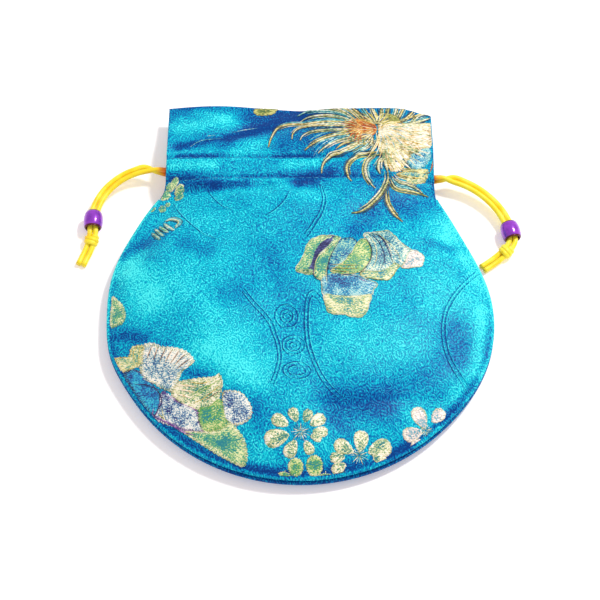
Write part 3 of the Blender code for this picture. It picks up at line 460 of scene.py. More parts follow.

# Painted highlights (amount above 0) and painted shade (below 0) of the satin: x and y of start and end
# and spread in tenths of a mm, amount
PAINTED_LIGHT_AND_SHADE = (
    (-392, 577, -235, 598, 28, 0.9), (-329, 648, -245, 616, 15, 0.5), (-412, 421, -283, 418, 12, 0.8),
    (-207, 470, -123, 507, 18, 0.6), (-42, 414, 48, 430, 12, 0.7), (-550, 73, -463, -80, 43, 0.8),
    (-343, 76, -249, 44, 37, 0.3), (-288, -251, -135, -354, 49, 0.8), (-402, -34, -339, -63, 49, 0.4),
    (-182, -202, -260, -149, 37, 0.35), (458, 154, 495, 229, 37, 0.7), (434, -39, 480, -68, 55, 0.5),
    (561, -91, 543, -304, 18, 0.7), (520, 99, 575, -13, 18, 0.6), (0, -431, 75, -473, 31, 0.3),
    (121, -235, 303, -262, 62, 0.35), (315, -461, 390, -470, 25, 0.6),
    (164, -510, 239, -512, 22, 0.35), (-149, -513, -107, -571, 28, 0.5),
    (-178, -596, -74, -619, 12, 0.4), (65, -549, 101, -582, 15, 0.4), (469, -386, 533, -315, 18, 0.5),
    (-395, 498, -227, 532, 10, -1.0), (-227, 532, 0, 631, 14, -1.0), (-379, 668, -303, 673, 9, -0.6),
    (-394, 457, -274, 453, 6, -0.8), (-81, 450, 39, 453, 6, -0.9), (-252, 494, -163, 559, 12, -0.5),
    (99, 646, 0, 627, 12, -0.4), (-405, 380, -272, 347, 15, -0.9), (-272, 347, -176, 351, 12, -0.7),
    (-10, 349, 96, 391, 15, -1.0), (-176, 378, -48, 380, 9, -0.35), (-427, 182, -569, 106, 18, -0.9),
    (-361, 125, -290, 84, 22, -0.6), (-230, -77, -163, -42, 31, -0.4), (173, 156, 228, 238, 25, -0.9),
    (409, 134, 479, 118, 12, -0.8), (105, -433, 255, -450, 37, -0.9), (255, -405, 399, -324, 37, -0.5),
    (89, -487, 149, -522, 18, -0.6), (451, -176, 466, -275, 28, -0.6),
    (-547, -186, -474, -206, 15, -1.0), (-344, -328, -280, -350, 12, -0.7),
    (-137, -437, -119, -519, 22, -0.7), (-178, -618, 0, -645, 11, -0.7),
    (271, -588, 328, -549, 12, -1.0), (436, -468, 499, -414, 9, -0.6), (65, -633, 163, -614, 12, -0.6),
    (296, 279, 343, 246, 22, -0.5), (425, 368, 574, 91, 8, -0.6), (-520, -244, -411, -244, 12, -0.6),
    (-624, -47, -589, 7, 18, -0.3), (-224, -427, -194, -414, 15, -0.5), (0, -95, 0, -201, 25, -0.25),
    (-315, 191, -188, 162, 31, 0.15), (95, 234, 0, 140, 43, -0.15), (-469, 72, -447, 127, 18, -0.3),
    (-633, -154, -574, -301, 9, -0.35), (-564, -311, -421, -481, 9, -0.4),
    (-93, 85, -46, -42, 28, -0.35), (477, -145, 496, -220, 18, -0.35),
    (517, -168, 507, -269, 15, -0.3), (-124, 606, 82, 619, 50, -0.5), (-49, 506, 97, 514, 35, -0.45),
    (144, 391, 272, 350, 32, -0.6), (292, 271, 400, 291, 32, -0.65), (-13, 372, 38, 360, 25, -0.5),
)


def ease(low: float, high: float, value: Array) -> Array:
    """Run smoothly from 0 where value is low to 1 where it is high."""
    share = np.clip((value - low) / (high - low), 0.0, 1.0)
    return share * share * (3 - 2 * share)


def bell(offset: Array, spread: float) -> Array:
    """Return the height of a bell curve of height 1."""
    return np.exp(-offset * offset / (2 * spread * spread))


def in_mm(tenths: Sequence[int]) -> List[Place]:
    """Take a row of x and y in tenths of a millimetre two by two, in millimetres."""
    return [(x / 10, y / 10) for x, y in zip(tenths[::2], tenths[1::2])]


def segment_distance(x: Array, y: Array, start: Place, end: Place) -> Array:
    """Return the distance of points from a straight line between two places.

    Args:
        x: The points' x.
        y: The points' y.
        start: One end of the line.
        end: Its other end.

    Returns:
        One distance for each point.
    """
    run, rise = end[0] - start[0], end[1] - start[1]
    share = ((x - start[0]) * run + (y - start[1]) * rise) / (run * run + rise * rise + 1e-12)
    share = np.clip(share, 0.0, 1.0)
    return np.hypot(x - start[0] - run * share, y - start[1] - rise * share)


def soft_lines(x: Array, y: Array, rows: Sequence[Sequence[float]]) -> Array:
    """Add up lines that fade out on both sides.

    Args:
        x: The points' x.
        y: The points' y.
        rows: Start, end and spread of each line in tenths of a millimetre, and its height.

    Returns:
        The sum at each point.
    """
    total = np.zeros_like(x)
    for *line, height in rows:
        x1, y1, x2, y2, spread = [value / 10 * MM for value in line]
        total += height * bell(segment_distance(x, y, (x1, y1), (x2, y2)), spread)
    return total


def smooth_route(points: Sequence[Sequence[float]], step: float, closed: bool = False) -> Array:
    """Run a smooth curve through points.

    Args:
        points: The points, in any number of dimensions.
        step: About how far apart the returned points lie.
        closed: Whether the curve runs back to its first point.

    Returns:
        The curve's points, one to a row. A closed curve's first point isn't repeated.
    """
    knots = np.array(points, dtype=float)
    if closed:
        ring = np.vstack([knots[-1:], knots, knots[:2]])
    else:
        ring = np.vstack([2 * knots[:1] - knots[1:2], knots, 2 * knots[-1:] - knots[-2:-1]])
    found = []
    for before, start, stop, after in zip(ring, ring[1:], ring[2:], ring[3:]):
        count = max(1, int(round(np.linalg.norm(stop - start) / step)))
        for share in np.arange(count) / count:
            found.append(0.5 * (2 * start + (stop - before) * share
                                + (2 * before - 5 * start + 4 * stop - after) * share ** 2
                                + (3 * start - before - 3 * stop + after) * share ** 3))
    if not closed:
        found.append(knots[-1])
    return np.array(found)


@dataclass(frozen=True)
class PouchCut:
    """The sizes of the pouch and the shape that its two panels lie in, in metres."""

    body_radius: float = 0.0600
    neck: float = 0.0430
    shoulder: float = 0.0015
    casing_above_centre: float = 0.0433
    casing_height: float = 0.0079
    header: float = 0.0219
    seam_end_below: float = 0.0047
    back_roll: float = 0.0007
    cloth: float = 0.0004
    fold: float = 0.00045
    seam_gap: float = 0.0003
    allowance: float = 0.0045
    seam_height: float = 0.0040
    cord: float = 0.0017
    tunnel_clearance: float = 0.0008
    tunnel_slope: float = 0.0010
    hem_below: float = 0.0020
    hem_inset: float = 0.0004
    cut_back: float = 0.0055
    dent: float = 0.0007
    dent_width: float = 0.0006
    body_crown: float = 0.0135
    neck_crown: float = 0.0114
    body_slope: float = 0.045
    neck_slope: float = 0.018
    droop: float = 0.0030
    corner_droop: float = 0.0012
    back_slope: float = 0.009
    pucker: float = 0.00013
    pucker_reach: float = 0.0035
    gather: float = 0.00010
    gather_offset: float = 0.0022
    gather_spread: float = 0.0016

    @property
    def rim(self) -> float:
        """Radius of the body to the start of the turned edge."""
        return self.body_radius - self.fold - self.cloth / 2

    @property
    def centre_y(self) -> float:
        """Height of the round body's middle."""
        length = (self.body_radius + self.back_roll + self.casing_above_centre
                  + self.casing_height + self.header)
        return self.body_radius + self.back_roll - length / 2

    @property
    def lower_stitch(self) -> float:
        """Height of the casing's lower stitch line."""
        return self.centre_y + self.casing_above_centre

    @property
    def upper_stitch(self) -> float:
        """Height of the casing's upper stitch line."""
        return self.lower_stitch + self.casing_height

    @property
    def mouth(self) -> float:
        """Height of the mouth's edge."""
        return self.upper_stitch + self.header

    @property
    def seam_end(self) -> float:
        """Height where the side seams end and the slits start."""
        return self.lower_stitch - self.seam_end_below

    @property
    def layer_step(self) -> float:
        """Distance between two layers at a turned edge."""
        return 2 * self.fold

    @property
    def front_rim(self) -> float:
        """Height of the front panel's outer layer at the seam."""
        return self.seam_height + (self.seam_gap + self.cloth) / 2 + self.layer_step

    @property
    def back_rim(self) -> float:
        """Height of the back panel's outer layer at the seam."""
        return self.seam_height - (self.seam_gap + self.cloth) / 2 - self.layer_step

    def side_wave(self, y: Array, side: Array) -> Array:
        """Return how far a side seam stands outside the round body."""
        above = y - self.centre_y
        waves = {which: sum(width * bell(above - place, spread)
                            for one, place, spread, width in RIM_WAVES if one == which)
                 for which in (1, -1)}
        return np.where(side > 0, waves[1], waves[-1])

    def half_width(self, y: Array, side: Array) -> Array:
        """Return the distance from the middle line to the edge."""
        above = y - self.centre_y
        body = np.sqrt(np.maximum(0.0, self.rim ** 2 - above ** 2)) + self.side_wave(y, side)
        wide = (body + self.neck + np.hypot(body - self.neck, self.shoulder)) / 2
        return np.where(above > 0, wide, body)

    def seam_distance(self, x: Array, y: Array) -> Array:
        """Return the distance from points of the cloth to the sewn edge."""
        side = np.where(x >= 0, 1, -1)
        across = np.abs(x)
        above = y - self.centre_y
        reach = np.hypot(across, above) + 1e-9
        rim_y = self.centre_y + self.rim * above / reach
        end = self.half_width(np.full_like(across, self.seam_end), side)
        past = np.hypot(across - end, y - self.seam_end)
        rim = self.rim + self.side_wave(rim_y, side) * across / reach
        return np.where(rim_y > self.seam_end, past, np.maximum(0.0, rim - reach))

    def on_body(self, place: Place) -> Place:
        """Return x and y of a place counted in radii of the rim from the body's middle."""
        return (place[0] * self.rim, self.centre_y + place[1] * self.rim)

    def relief(self, x: Array, y: Array) -> Array:
        """Return the rise of the front panel's large folds."""
        rise = sum(height * bell(segment_distance(x, y, self.on_body((x1, y1)),
                                                  self.on_body((x2, y2))), spread)
                   for x1, y1, x2, y2, spread, height in FOLDS)
        below = ease(self.lower_stitch, self.lower_stitch - 0.0035, y)
        over = ease(self.upper_stitch, self.upper_stitch + 0.0035, y)
        return rise * np.maximum(below, over) * ease(0.0, 0.006, self.seam_distance(x, y))

    def wrinkles(self, x: Array, y: Array) -> Array:
        """Return the rise of the fine wrinkles, puckers and creases.

        Args:
            x: The points' x.
            y: The points' y.

        Returns:
            The rise at each point, in metres.
        """
        away = self.seam_distance(x, y)
        turn = np.arctan2(y - self.centre_y, x)
        pucker = np.sin(turn * 67 + 2.1 * np.sin(turn * 9)) + 0.6 * np.sin(turn * 113 + 1.3)
        body = ease(self.seam_end + 0.004, self.seam_end - 0.004, y)
        rise = self.pucker * pucker * np.exp(-away / self.pucker_reach)
        rise = rise * ease(0.0, 0.0012, away) * body
        gather = np.sin(x * 1150 + 1.4 * np.sin(x * 260)) + 0.5 * np.sin(x * 2300 + 0.7)
        near = bell(y - self.lower_stitch + self.gather_offset, self.gather_spread) \
            + 0.9 * bell(y - self.upper_stitch - self.gather_offset, self.gather_spread)
        rise = rise + self.gather * gather * near
        slack = sum(size * np.sin(x * wide + y * high + phase) for size, wide, high, phase in SLACK)
        rise = rise + slack * ease(0.001, 0.012, away) \
            * ease(self.lower_stitch, self.lower_stitch - 0.006, y)
        return rise + soft_lines(x, y, CREASES) * MM * ease(0.0, 0.004, away)

    def front_height(self, x: Array, y: Array) -> Array:
        """Return the height of the front panel's outer layer."""
        away = self.seam_distance(x, y)
        round_part = 1 - (1 - np.minimum(1.0, away / self.body_slope)) ** 2.4
        neck_part = 1 - (1 - np.minimum(1.0, away / self.neck_slope)) ** 2
        body = self.front_rim + (self.body_crown - self.front_rim) * round_part
        neck = self.front_rim + (self.neck_crown - self.front_rim) * neck_part
        blend = ease(self.lower_stitch - 0.011, self.lower_stitch + 0.002, y)
        dents = self.dent * (bell(y - self.lower_stitch, self.dent_width)
                             + bell(y - self.upper_stitch, self.dent_width))
        droop = ease(self.upper_stitch, self.mouth, y) * (
            self.droop + self.corner_droop * (x / self.neck) ** 4)
        return body + (neck - body) * blend - dents - droop + self.relief(x, y) + self.wrinkles(x, y)

    def back_height(self, x: Array, y: Array) -> Array:
        """Return the height of the back panel's outer layer."""
        low = self.cloth / 2
        rise = (1 - np.minimum(1.0, self.seam_distance(x, y) / self.back_slope)) ** 2
        return low + (self.back_rim - low) * rise

    def layer_drop(self, y: float) -> float:
        """Return the distance between a panel's outer layer and its hem."""
        inside = min(y - self.lower_stitch, self.upper_stitch - y)
        tunnel = self.cord + self.tunnel_clearance + self.cloth
        share = min(1.0, max(0.0, inside / self.tunnel_slope))
        return self.layer_step + (tunnel - self.layer_step) * share

    def mouth_shift(self, x: Array, y: Array) -> Array:
        """Return how far the header is pulled up or down."""
        wave = sum(rise * bell(x - place, spread) for place, spread, rise in MOUTH_WAVES)
        return wave * ease(self.upper_stitch, self.mouth, y)

    def row_place(self, u: Array, side_y: float, roll: float) -> Tuple[Array, Array]:
        """Return x and y of a row of the cloth.

        Args:
            u: Shares of the way from the left edge to the right edge.
            side_y: The row's height at its ends.
            roll: How far the panel's lower edge rolls out from under the other.

        Returns:
            The row's x and its y.
        """
        height = np.full_like(u, side_y)
        left = -self.half_width(height, -np.ones_like(u))
        right = self.half_width(height, np.ones_like(u))
        x = left + (right - left) * u
        y = height.copy()
        straight = self.centre_y + self.body_radius / 2
        corner = self.centre_y - self.rim * math.sin(math.pi / 4)
        if side_y < straight:
            turn = np.radians(225 + 90 * u)
            low = math.radians(225)
            fade = min(1.0, (straight - side_y) / (straight - corner)) ** 1.6
            x = x + fade * self.rim * (np.cos(turn) - math.cos(low) * (1 - 2 * u))
            y = y + fade * self.rim * (np.sin(turn) - math.sin(low))
        low = np.minimum(0.0, y - self.centre_y) / self.rim
        push = 1 + roll / self.rim * low ** 2 * np.hypot(x / self.rim, low) ** 6
        return x * push, y * push + (1 - push) * self.centre_y + self.mouth_shift(x, y)

    def keep_on_cloth(self, places: Array, margin: float = 0.0003) -> Array:
        """Move places that lie outside the front panel onto its edge.

        Args:
            places: One x and y to a row.
            margin: How far inside the edge they stay.

        Returns:
            The places, moved where that was needed.
        """
        x, y = places[:, 0].copy(), places[:, 1].copy()
        above = y - self.centre_y
        reach = np.hypot(x, above) + 1e-9
        side = np.where(x >= 0, 1, -1)
        rim_y = self.centre_y + self.rim * above / reach
        rim = self.rim + self.side_wave(rim_y, side) * np.abs(x) / reach - margin
        round_part = rim_y < self.seam_end
        shrink = np.where(round_part & (reach > rim), rim / reach, 1.0)
        x, y = x * shrink, self.centre_y + above * shrink
        limit = self.half_width(y, side) - margin
        x = np.where(round_part, x, np.clip(x, -limit, limit))
        top = self.mouth + self.mouth_shift(x, np.full_like(x, self.mouth)) - margin
        return np.stack([x, np.minimum(y, top)], axis=1)

    def tone_and_painted_light(self, x: Array, y: Array) -> Array:
        """Return the light and shade painted into the satin's colour at each point of the front.

        Args:
            x: The points' x.
            y: The points' y.

        Returns:
            About -1 where shade is painted in the folds to 1 where a highlight is painted.
        """
        value = 0.02 + soft_lines(x, y, PAINTED_LIGHT_AND_SHADE)
        # Painted light by slope: where the cloth faces left and to the front it is painted darker,
        # where it faces right and back lighter
        step = 0.0004
        height = self.front_height(x, y)
        lean = (self.front_height(x + step, y) - height) * 0.35 \
            + (self.front_height(x, y + step) - height) * 0.95
        value = value - np.clip(lean / step, -0.5, 0.5) * 0.55
        away = self.seam_distance(x, y)
        # Painted shade is a little weaker on the body than on the casing and header
        painted_shade_depth = 0.85 + 0.30 * ease(self.lower_stitch - 0.006, self.lower_stitch, y)
        value = np.where(value < 0, value * painted_shade_depth, value)
        # Painted shade: a dark band just inside the lower part of the sewn edge, a little darker all
        # round the edge, and darker from the casing's lower stitch up to the mouth
        value = value - 0.75 * bell(away - 0.0006, 0.0011) * ease(0.0, -0.03, y)
        value = value - 0.25 * bell(away, 0.0010) - 0.62 * ease(self.lower_stitch, self.mouth, y)
        # Painted highlight right along the turned edge
        value = value + 0.9 * bell(away, 0.0003)
        return np.clip(value, -1.6, 1.1)


CUT = PouchCut()


def deselect() -> None:
    """Deselect everything and leave no object active."""
    bpy.ops.object.select_all(action="DESELECT")
    bpy.context.view_layer.objects.active = None


def activate(thing: Thing) -> None:
    """Select one object only and make it the active one."""
    deselect()
    thing.select_set(True)
    bpy.context.view_layer.objects.active = thing


def apply_modifiers(thing: Thing) -> None:
    """Apply all the modifiers of an object."""
    activate(thing)
    for name in [modifier.name for modifier in thing.modifiers]:
        bpy.ops.object.modifier_apply(modifier=name)


class NodeBoard:
    """Lays out the nodes of one material."""

    def __init__(self, name: str) -> None:
        """Start a material with its Principled shader."""
        self.material = bpy.data.materials.new(name)
        self.material.use_nodes = True
        self.tree = self.material.node_tree
        self.shader = self.tree.nodes["Principled BSDF"]
        self.column = -300

    def add(self, kind: str, **settings: object) -> bpy.types.Node:
        """Add a node and set its properties.

        Args:
            kind: The node's type.
            settings: Its properties by name.

        Returns:
            The new node.
        """
        node = self.tree.nodes.new(kind)
        node.location = (self.column, 0)
        self.column -= 180
        for key, value in settings.items():
            setattr(node, key, value)
        return node

    def link(self, source: Socket, target: Socket) -> None:
        """Join two sockets."""
        self.tree.links.new(source, target)

    def math(self, operation: str, first: object, second: object = None,
             third: object = None) -> Socket:
        """Add a Math node.

        Args:
            operation: What it does.
            first: A socket or a number.
            second: A socket, a number or nothing.
            third: A socket, a number or nothing.

        Returns:
            The node's output.
        """
        node = self.add("ShaderNodeMath", operation=operation)
        for index, value in enumerate((first, second, third)):
            if isinstance(value, Socket):
                self.link(value, node.inputs[index])
            elif value is not None:
                node.inputs[index].default_value = float(value)
        return node.outputs[0]

    def vector(self, operation: str, first: Socket, second: object) -> Socket:
        """Add a Vector Math node.

        Args:
            operation: What it does.
            first: A socket.
            second: A socket or three numbers.

        Returns:
            The resulting vector.
        """
        node = self.add("ShaderNodeVectorMath", operation=operation)
        self.link(first, node.inputs[0])
        if isinstance(second, Socket):
            self.link(second, node.inputs[1])
        else:
            node.inputs[1].default_value = second
        return node.outputs["Vector"]

    def apart(self, vector: Socket) -> bpy.types.NodeOutputs:
        """Take a vector apart into X, Y and Z."""
        node = self.add("ShaderNodeSeparateXYZ")
        self.link(vector, node.inputs[0])
        return node.outputs

    def stored(self, name: str) -> Socket:
        """Read a number that is stored on the mesh."""
        return self.add("ShaderNodeAttribute", attribute_name=name).outputs["Fac"]

    def ramp(self, factor: Socket, stops: Sequence[Tuple[float, Colour]],
             mode: str = "LINEAR") -> Socket:
        """Add a Color Ramp.

        Args:
            factor: What drives it.
            stops: Place and screen colour of each stop.
            mode: How it runs between the stops.

        Returns:
            Its colour.
        """
        node = self.add("ShaderNodeValToRGB")
        node.color_ramp.interpolation = mode
        while len(node.color_ramp.elements) < len(stops):
            node.color_ramp.elements.new(0.5)
        for element, (place, colour) in zip(node.color_ramp.elements, stops):
            element.position = place
            element.color = linear(colour)
        self.link(factor, node.inputs["Fac"])
        return node.outputs["Color"]

    def millimetres(self) -> Socket:
        """Return the place on the object, in millimetres."""
        where = self.add("ShaderNodeTexCoord").outputs["Object"]
        return self.vector("MULTIPLY", where, (1 / MM, 1 / MM, 1 / MM))

    def stretched(self, place: Socket, grain: Sequence[float], turn: float = 0.0) -> Socket:
        """Divide a place by the size of a grain, after a turn about the vertical.

        Args:
            place: The place, in millimetres.
            grain: The grain's size along each axis, in millimetres.
            turn: The turn, in degrees.

        Returns:
            The scaled place.
        """
        mapping = self.add("ShaderNodeMapping", vector_type="TEXTURE")
        mapping.inputs["Scale"].default_value = (grain[0], grain[1], grain[-1])
        mapping.inputs["Rotation"].default_value = (0, 0, math.radians(turn))
        self.link(place, mapping.inputs["Vector"])
        return mapping.outputs["Vector"]

    def noise(self, place: Socket, scale: float, detail: float = 2.0, output: str = "Fac") -> Socket:
        """Add a Noise texture.

        Args:
            place: Where it is read, in millimetres.
            scale: How many of its patches go on a millimetre.
            detail: How fine it is.
            output: Fac for its value, or Color for three values.

        Returns:
            The chosen output.
        """
        node = self.add("ShaderNodeTexNoise")
        node.inputs["Scale"].default_value = scale
        node.inputs["Detail"].default_value = detail
        self.link(place, node.inputs["Vector"])
        return node.outputs[output]

    def bump(self, height: Socket, distance: float, strength: float = 1.0) -> None:
        """Give the shader a bump.

        Args:
            height: What it follows.
            distance: Its depth, in metres.
            strength: How much of it shows.
        """
        node = self.add("ShaderNodeBump")
        node.inputs["Strength"].default_value = strength
        node.inputs["Distance"].default_value = distance
        self.link(height, node.inputs["Height"])
        self.link(node.outputs["Normal"], self.shader.inputs["Normal"])

    def dress(self, colour: Socket, **settings: object) -> Material:
        """Give the shader its colour and its settings.

        Args:
            colour: Its colour.
            settings: Its other inputs by name, with _ for each blank.

        Returns:
            The finished material.
        """
        self.link(colour, self.shader.inputs["Base Color"])
        for name, value in settings.items():
            self.shader.inputs[name.replace("_", " ")].default_value = value
        return self.material


@dataclass(frozen=True)
class BrocadeFinish:
    """Turquoise satin with a tone-on-tone ground of scrolls, made lighter and darker by the painted
    light and shade stored on the mesh.
    """

    name: str = "brocade_satin"
    # Tones from navy to bright: the satin from deepest painted shade up to painted highlight, which are
    # also the tones of its scrolls and weave
    deep: Colour = (0, 34, 63)
    low: Colour = (0, 51, 73)
    middle: Colour = (0, 66, 79)
    light: Colour = (2, 81, 87)
    bright: Colour = (32, 95, 96)
    navy: Colour = (0, 23, 51)
    scroll_cell: float = 3.5
    scroll_pitch: float = 0.87
    scroll_contrast: float = 0.76
    waver: float = 2.2
    weave_contrast: float = 3.2
    cloud_contrast: float = 0.7
    roughness: float = 0.42

    def build(self) -> Material:
        """Make the material.

        Returns:
            The finished material.
        """
        board = NodeBoard(self.name)
        place = board.millimetres()
        centred = board.vector("SUBTRACT", board.noise(place, 0.45, 1.0, "Color"), (0.5, 0.5, 0.5))
        moved = board.vector("ADD", place, board.vector("MULTIPLY", centred,
                                                        (self.waver, self.waver, 0.0)))
        cells = board.add("ShaderNodeTexVoronoi", voronoi_dimensions="2D")
        cells.inputs["Scale"].default_value = 1 / self.scroll_cell
        cells.inputs["Randomness"].default_value = 0.85
        board.link(moved, cells.inputs["Vector"])
        arm = board.apart(board.vector("SUBTRACT", moved, cells.outputs["Position"]))
        across, along = arm["X"], arm["Y"]
        reach = board.math("SQRT", board.math("ADD", board.math("MULTIPLY", across, across),
                                              board.math("MULTIPLY", along, along)))
        turn = board.math("ARCTAN2", along, across)
        tint = board.add("ShaderNodeSeparateColor")
        board.link(cells.outputs["Color"], tint.inputs[0])
        right_hand = board.math("GREATER_THAN", tint.outputs["Red"], 0.5)
        hand = board.math("MULTIPLY_ADD", right_hand, 2.0, -1.0)
        swirl = board.math("ADD", board.math("MULTIPLY", reach, 2 * math.pi / self.scroll_pitch),
                           board.math("MULTIPLY", turn, hand))
        start = board.math("MULTIPLY", tint.outputs["Green"], 6.28)
        wave = board.math("SINE", board.math("ADD", swirl, start))
        line = board.math("POWER", board.math("MULTIPLY_ADD", wave, 0.5, 0.5), 1.5)
        weave = board.noise(board.stretched(place, (0.30, 0.62, 1.0), 24.0), 1.0, 1.0)
        cloud = board.noise(place, 0.16, 2.0)
        # The stored painted light and shade sets the tone; the scrolls, weave and clouds move it up and
        # down
        value = board.stored("tone_and_painted_light")
        for part, middle, contrast in ((line, 0.42, self.scroll_contrast),
                                       (weave, 0.5, self.weave_contrast),
                                       (cloud, 0.5, self.cloud_contrast)):
            value = board.math("MULTIPLY_ADD", board.math("SUBTRACT", part, middle), contrast, value)
        share = board.math("MULTIPLY_ADD", value, 0.33, 0.5)
        colour = board.ramp(share, ((0.04, self.navy), (0.20, self.deep), (0.36, self.low),
                                    (0.52, self.middle), (0.68, self.light), (0.88, self.bright)))
        tangent = board.add("ShaderNodeTangent", direction_type="UV_MAP", uv_map="warp")
        board.link(tangent.outputs["Tangent"], board.shader.inputs["Tangent"])
        height = board.math("MULTIPLY_ADD", line, 0.7, board.math("MULTIPLY", weave, 0.5))
        board.bump(height, 0.00010, 0.55)
        return board.dress(colour, Roughness=self.roughness, Anisotropic=0.55, Specular_IOR_Level=0.10)


@dataclass(frozen=True)
class ReverseFinish:
    """The wrong side of the brocade: duller, with loose weft floats."""

    name: str = "brocade_reverse"
    dark: Colour = (2, 38, 58)
    light: Colour = (30, 68, 78)

    def build(self) -> Material:
        """Make the material."""
        board = NodeBoard(self.name)
        place = board.millimetres()
        floats = board.noise(board.stretched(place, (5.0, 0.30, 1.0)), 1.0, 2.0)
        patch = board.noise(place, 0.12, 1.0)
        share = board.math("MULTIPLY_ADD", patch, 0.6, board.math("MULTIPLY", floats, 0.6))
        colour = board.ramp(share, ((0.35, self.dark), (0.80, self.light)))
        board.bump(floats, 0.00008, 0.6)
        return board.dress(colour, Roughness=0.62)


@dataclass(frozen=True)
class CordFinish:
    """Yellow satin cord, wound with fine slanting threads, with orange and darker
    painted shade by the slits, where the cloth's edge shades it.

    The painted shade starts the given width in millimetres from the pouch's middle
    and deepens inwards at the given rate.
    """

    name: str = "cord_satin"
    dark: Colour = (100, 78, 2)
    middle: Colour = (100, 91, 6)
    light: Colour = (100, 98, 36)
    slit_shade: Colour = (100, 50, 3)
    slit_shade_width: float = 47.0
    slit_shade_rate: float = 0.15

    def build(self) -> Material:
        """Make the material."""
        board = NodeBoard(self.name)
        path = board.add("ShaderNodeUVMap", uv_map="lay")
        turned = board.stretched(path.outputs["UV"], (1.0, 0.16, 1.0), 32.0)
        thread = board.noise(turned, 1.6, 2.0)
        place = board.millimetres()
        slow = board.noise(place, 0.22, 1.0)
        share = board.math("MULTIPLY_ADD", slow, 0.7, board.math("MULTIPLY", thread, 0.5))
        # Painted shade: inside the given width from the middle, by the slits and in the casings, the
        # share drops towards the orange and darker tones
        inward = board.math("SUBTRACT", self.slit_shade_width,
                            board.math("ABSOLUTE", board.apart(place)["X"]))
        share = board.math("MULTIPLY_ADD", board.math("MAXIMUM", inward, 0.0), -self.slit_shade_rate, share)
        colour = board.ramp(share, ((0.05, self.slit_shade), (0.35, self.dark), (0.58, self.middle),
                                    (0.85, self.light)))
        board.bump(thread, 0.00009, 0.7)
        return board.dress(colour, Roughness=0.36, Sheen_Weight=0.15)


@dataclass(frozen=True)
class BeadFinish:
    """Purple pearl plastic, smooth and glossy."""

    name: str = "bead_plastic"
    dark: Colour = (42, 7, 66)
    light: Colour = (66, 25, 86)
    # Dark red painted shade inside the bore
    bore_shade: Colour = (42, 2, 10)

    def build(self) -> Material:
        """Make the material."""
        board = NodeBoard(self.name)
        place = board.millimetres()
        streak = board.noise(board.stretched(place, (2.5, 1.4, 1.0)), 0.7, 3.0)
        fine = board.noise(place, 5.0, 1.0)
        share = board.math("MULTIPLY_ADD", fine, 0.25, board.math("MULTIPLY", streak, 0.8))
        colour = board.ramp(share, ((0.30, self.dark), (0.75, self.light)))
        board.bump(fine, 0.00002, 0.4)
        return board.dress(colour, Roughness=0.22, Metallic=0.25, Coat_Weight=0.6, Coat_Roughness=0.08)

    def build_bore_shade(self) -> Material:
        """Make the dark red painted shade inside the bead's bore."""
        board = NodeBoard("bead_bore")
        streak = board.noise(board.millimetres(), 1.5, 2.0)
        deep = tuple(part * 0.6 for part in self.bore_shade)
        return board.dress(board.ramp(streak, ((0.3, deep), (0.7, self.bore_shade))), Roughness=0.35)


class ThreadBox:
    """Keeps one material for each thread that the flowers use."""

    def __init__(self) -> None:
        """Start with no materials."""
        self.made: Dict[Thread, Material] = {}

    def take(self, thread: Thread) -> Material:
        """Return a thread's material, made when it is first asked for."""
        if thread not in self.made:
            self.made[thread] = self.spin(thread)
        return self.made[thread]

    def spin(self, thread: Thread) -> Material:
        """Make a thread's material from its tones and grain.

        Args:
            thread: The thread.

        Returns:
            Its material.
        """
        finish = thread.value
        board = NodeBoard("thread_" + thread.name.lower())
        place = board.millimetres()
        grain = board.noise(board.stretched(place, (*finish.grain, 1.0)), 1.0, 1.0)
        fine = board.noise(board.stretched(place, (0.9, 0.22, 1.0)), 1.0, 0.0)
        patch = board.noise(place, 0.30, 1.0)
        ribs = board.math("SINE", board.math("MULTIPLY", board.stored("rib"),
                                             2 * math.pi / SCALLOP_PITCH))
        share = board.math("MULTIPLY", grain, 0.85)
        for part, weight in ((fine, 0.40), (patch, 0.55), (board.stored("heart"), -0.20),
                             (ribs, -0.045)):
            share = board.math("MULTIPLY_ADD", part, weight, share)
        share = board.math("SUBTRACT", share, 0.32)
        count = len(finish.tones)
        stops = [(0.30 + 0.36 * index / (count - 1), tone) for index, tone in enumerate(finish.tones)]
        board.bump(fine, 0.00010, 0.7)
        return board.dress(board.ramp(share, stops), Roughness=finish.roughness, Sheen_Weight=0.08)


class Draft:
    """Collects vertices, faces and thread colours of one piece, then makes its mesh."""

    def __init__(self) -> None:
        """Start empty."""
        self.places: List[Array] = []
        self.faces: List[Face] = []
        self.threads: List[Optional[Thread]] = []
        self.marks: List[Array] = []
        self.count = 0

    def add(self, places: Array, faces: Sequence[Face],
            thread: Optional[Thread] = None, marks: Optional[Array] = None) -> None:
        """Add some vertices and the faces on them.

        Args:
            places: One vertex to a row.
            faces: Faces that count these vertices from 0.
            thread: The thread that the faces show.
            marks: Each vertex's share of the way to a petal's heart, and its way round it.
        """
        self.marks.append(np.tile((0.5, 0.0), (len(places), 1)) if marks is None else marks)
        self.places.append(places)
        self.faces += [tuple(index + self.count for index in face) for face in faces]
        self.threads += [thread] * len(faces)
        self.count += len(places)

    def build(self, name: str, materials: Dict[Optional[Thread], Material]) -> Thing:
        """Make the object.

        Args:
            name: The object's name.
            materials: The material of each thread in use.

        Returns:
            The new object, smooth shaded.
        """
        mesh = bpy.data.meshes.new(name)
        mesh.from_pydata(np.vstack(self.places).tolist(), [], self.faces)
        order = list(dict.fromkeys(self.threads))
        for thread in order:
            mesh.materials.append(materials[thread])
        numbers = {thread: index for index, thread in enumerate(order)}
        mesh.polygons.foreach_set("material_index", [numbers[thread] for thread in self.threads])
        mesh.polygons.foreach_set("use_smooth", [True] * len(self.faces))
        marks = np.vstack(self.marks).astype(np.float32)
        for column, label in enumerate(("heart", "rib")):
            layer = mesh.attributes.new(label, "FLOAT", "POINT")
            layer.data.foreach_set("value", np.ascontiguousarray(marks[:, column]))
        mesh.update()
        made = bpy.data.objects.new(name, mesh)
        bpy.context.scene.collection.objects.link(made)
        return made


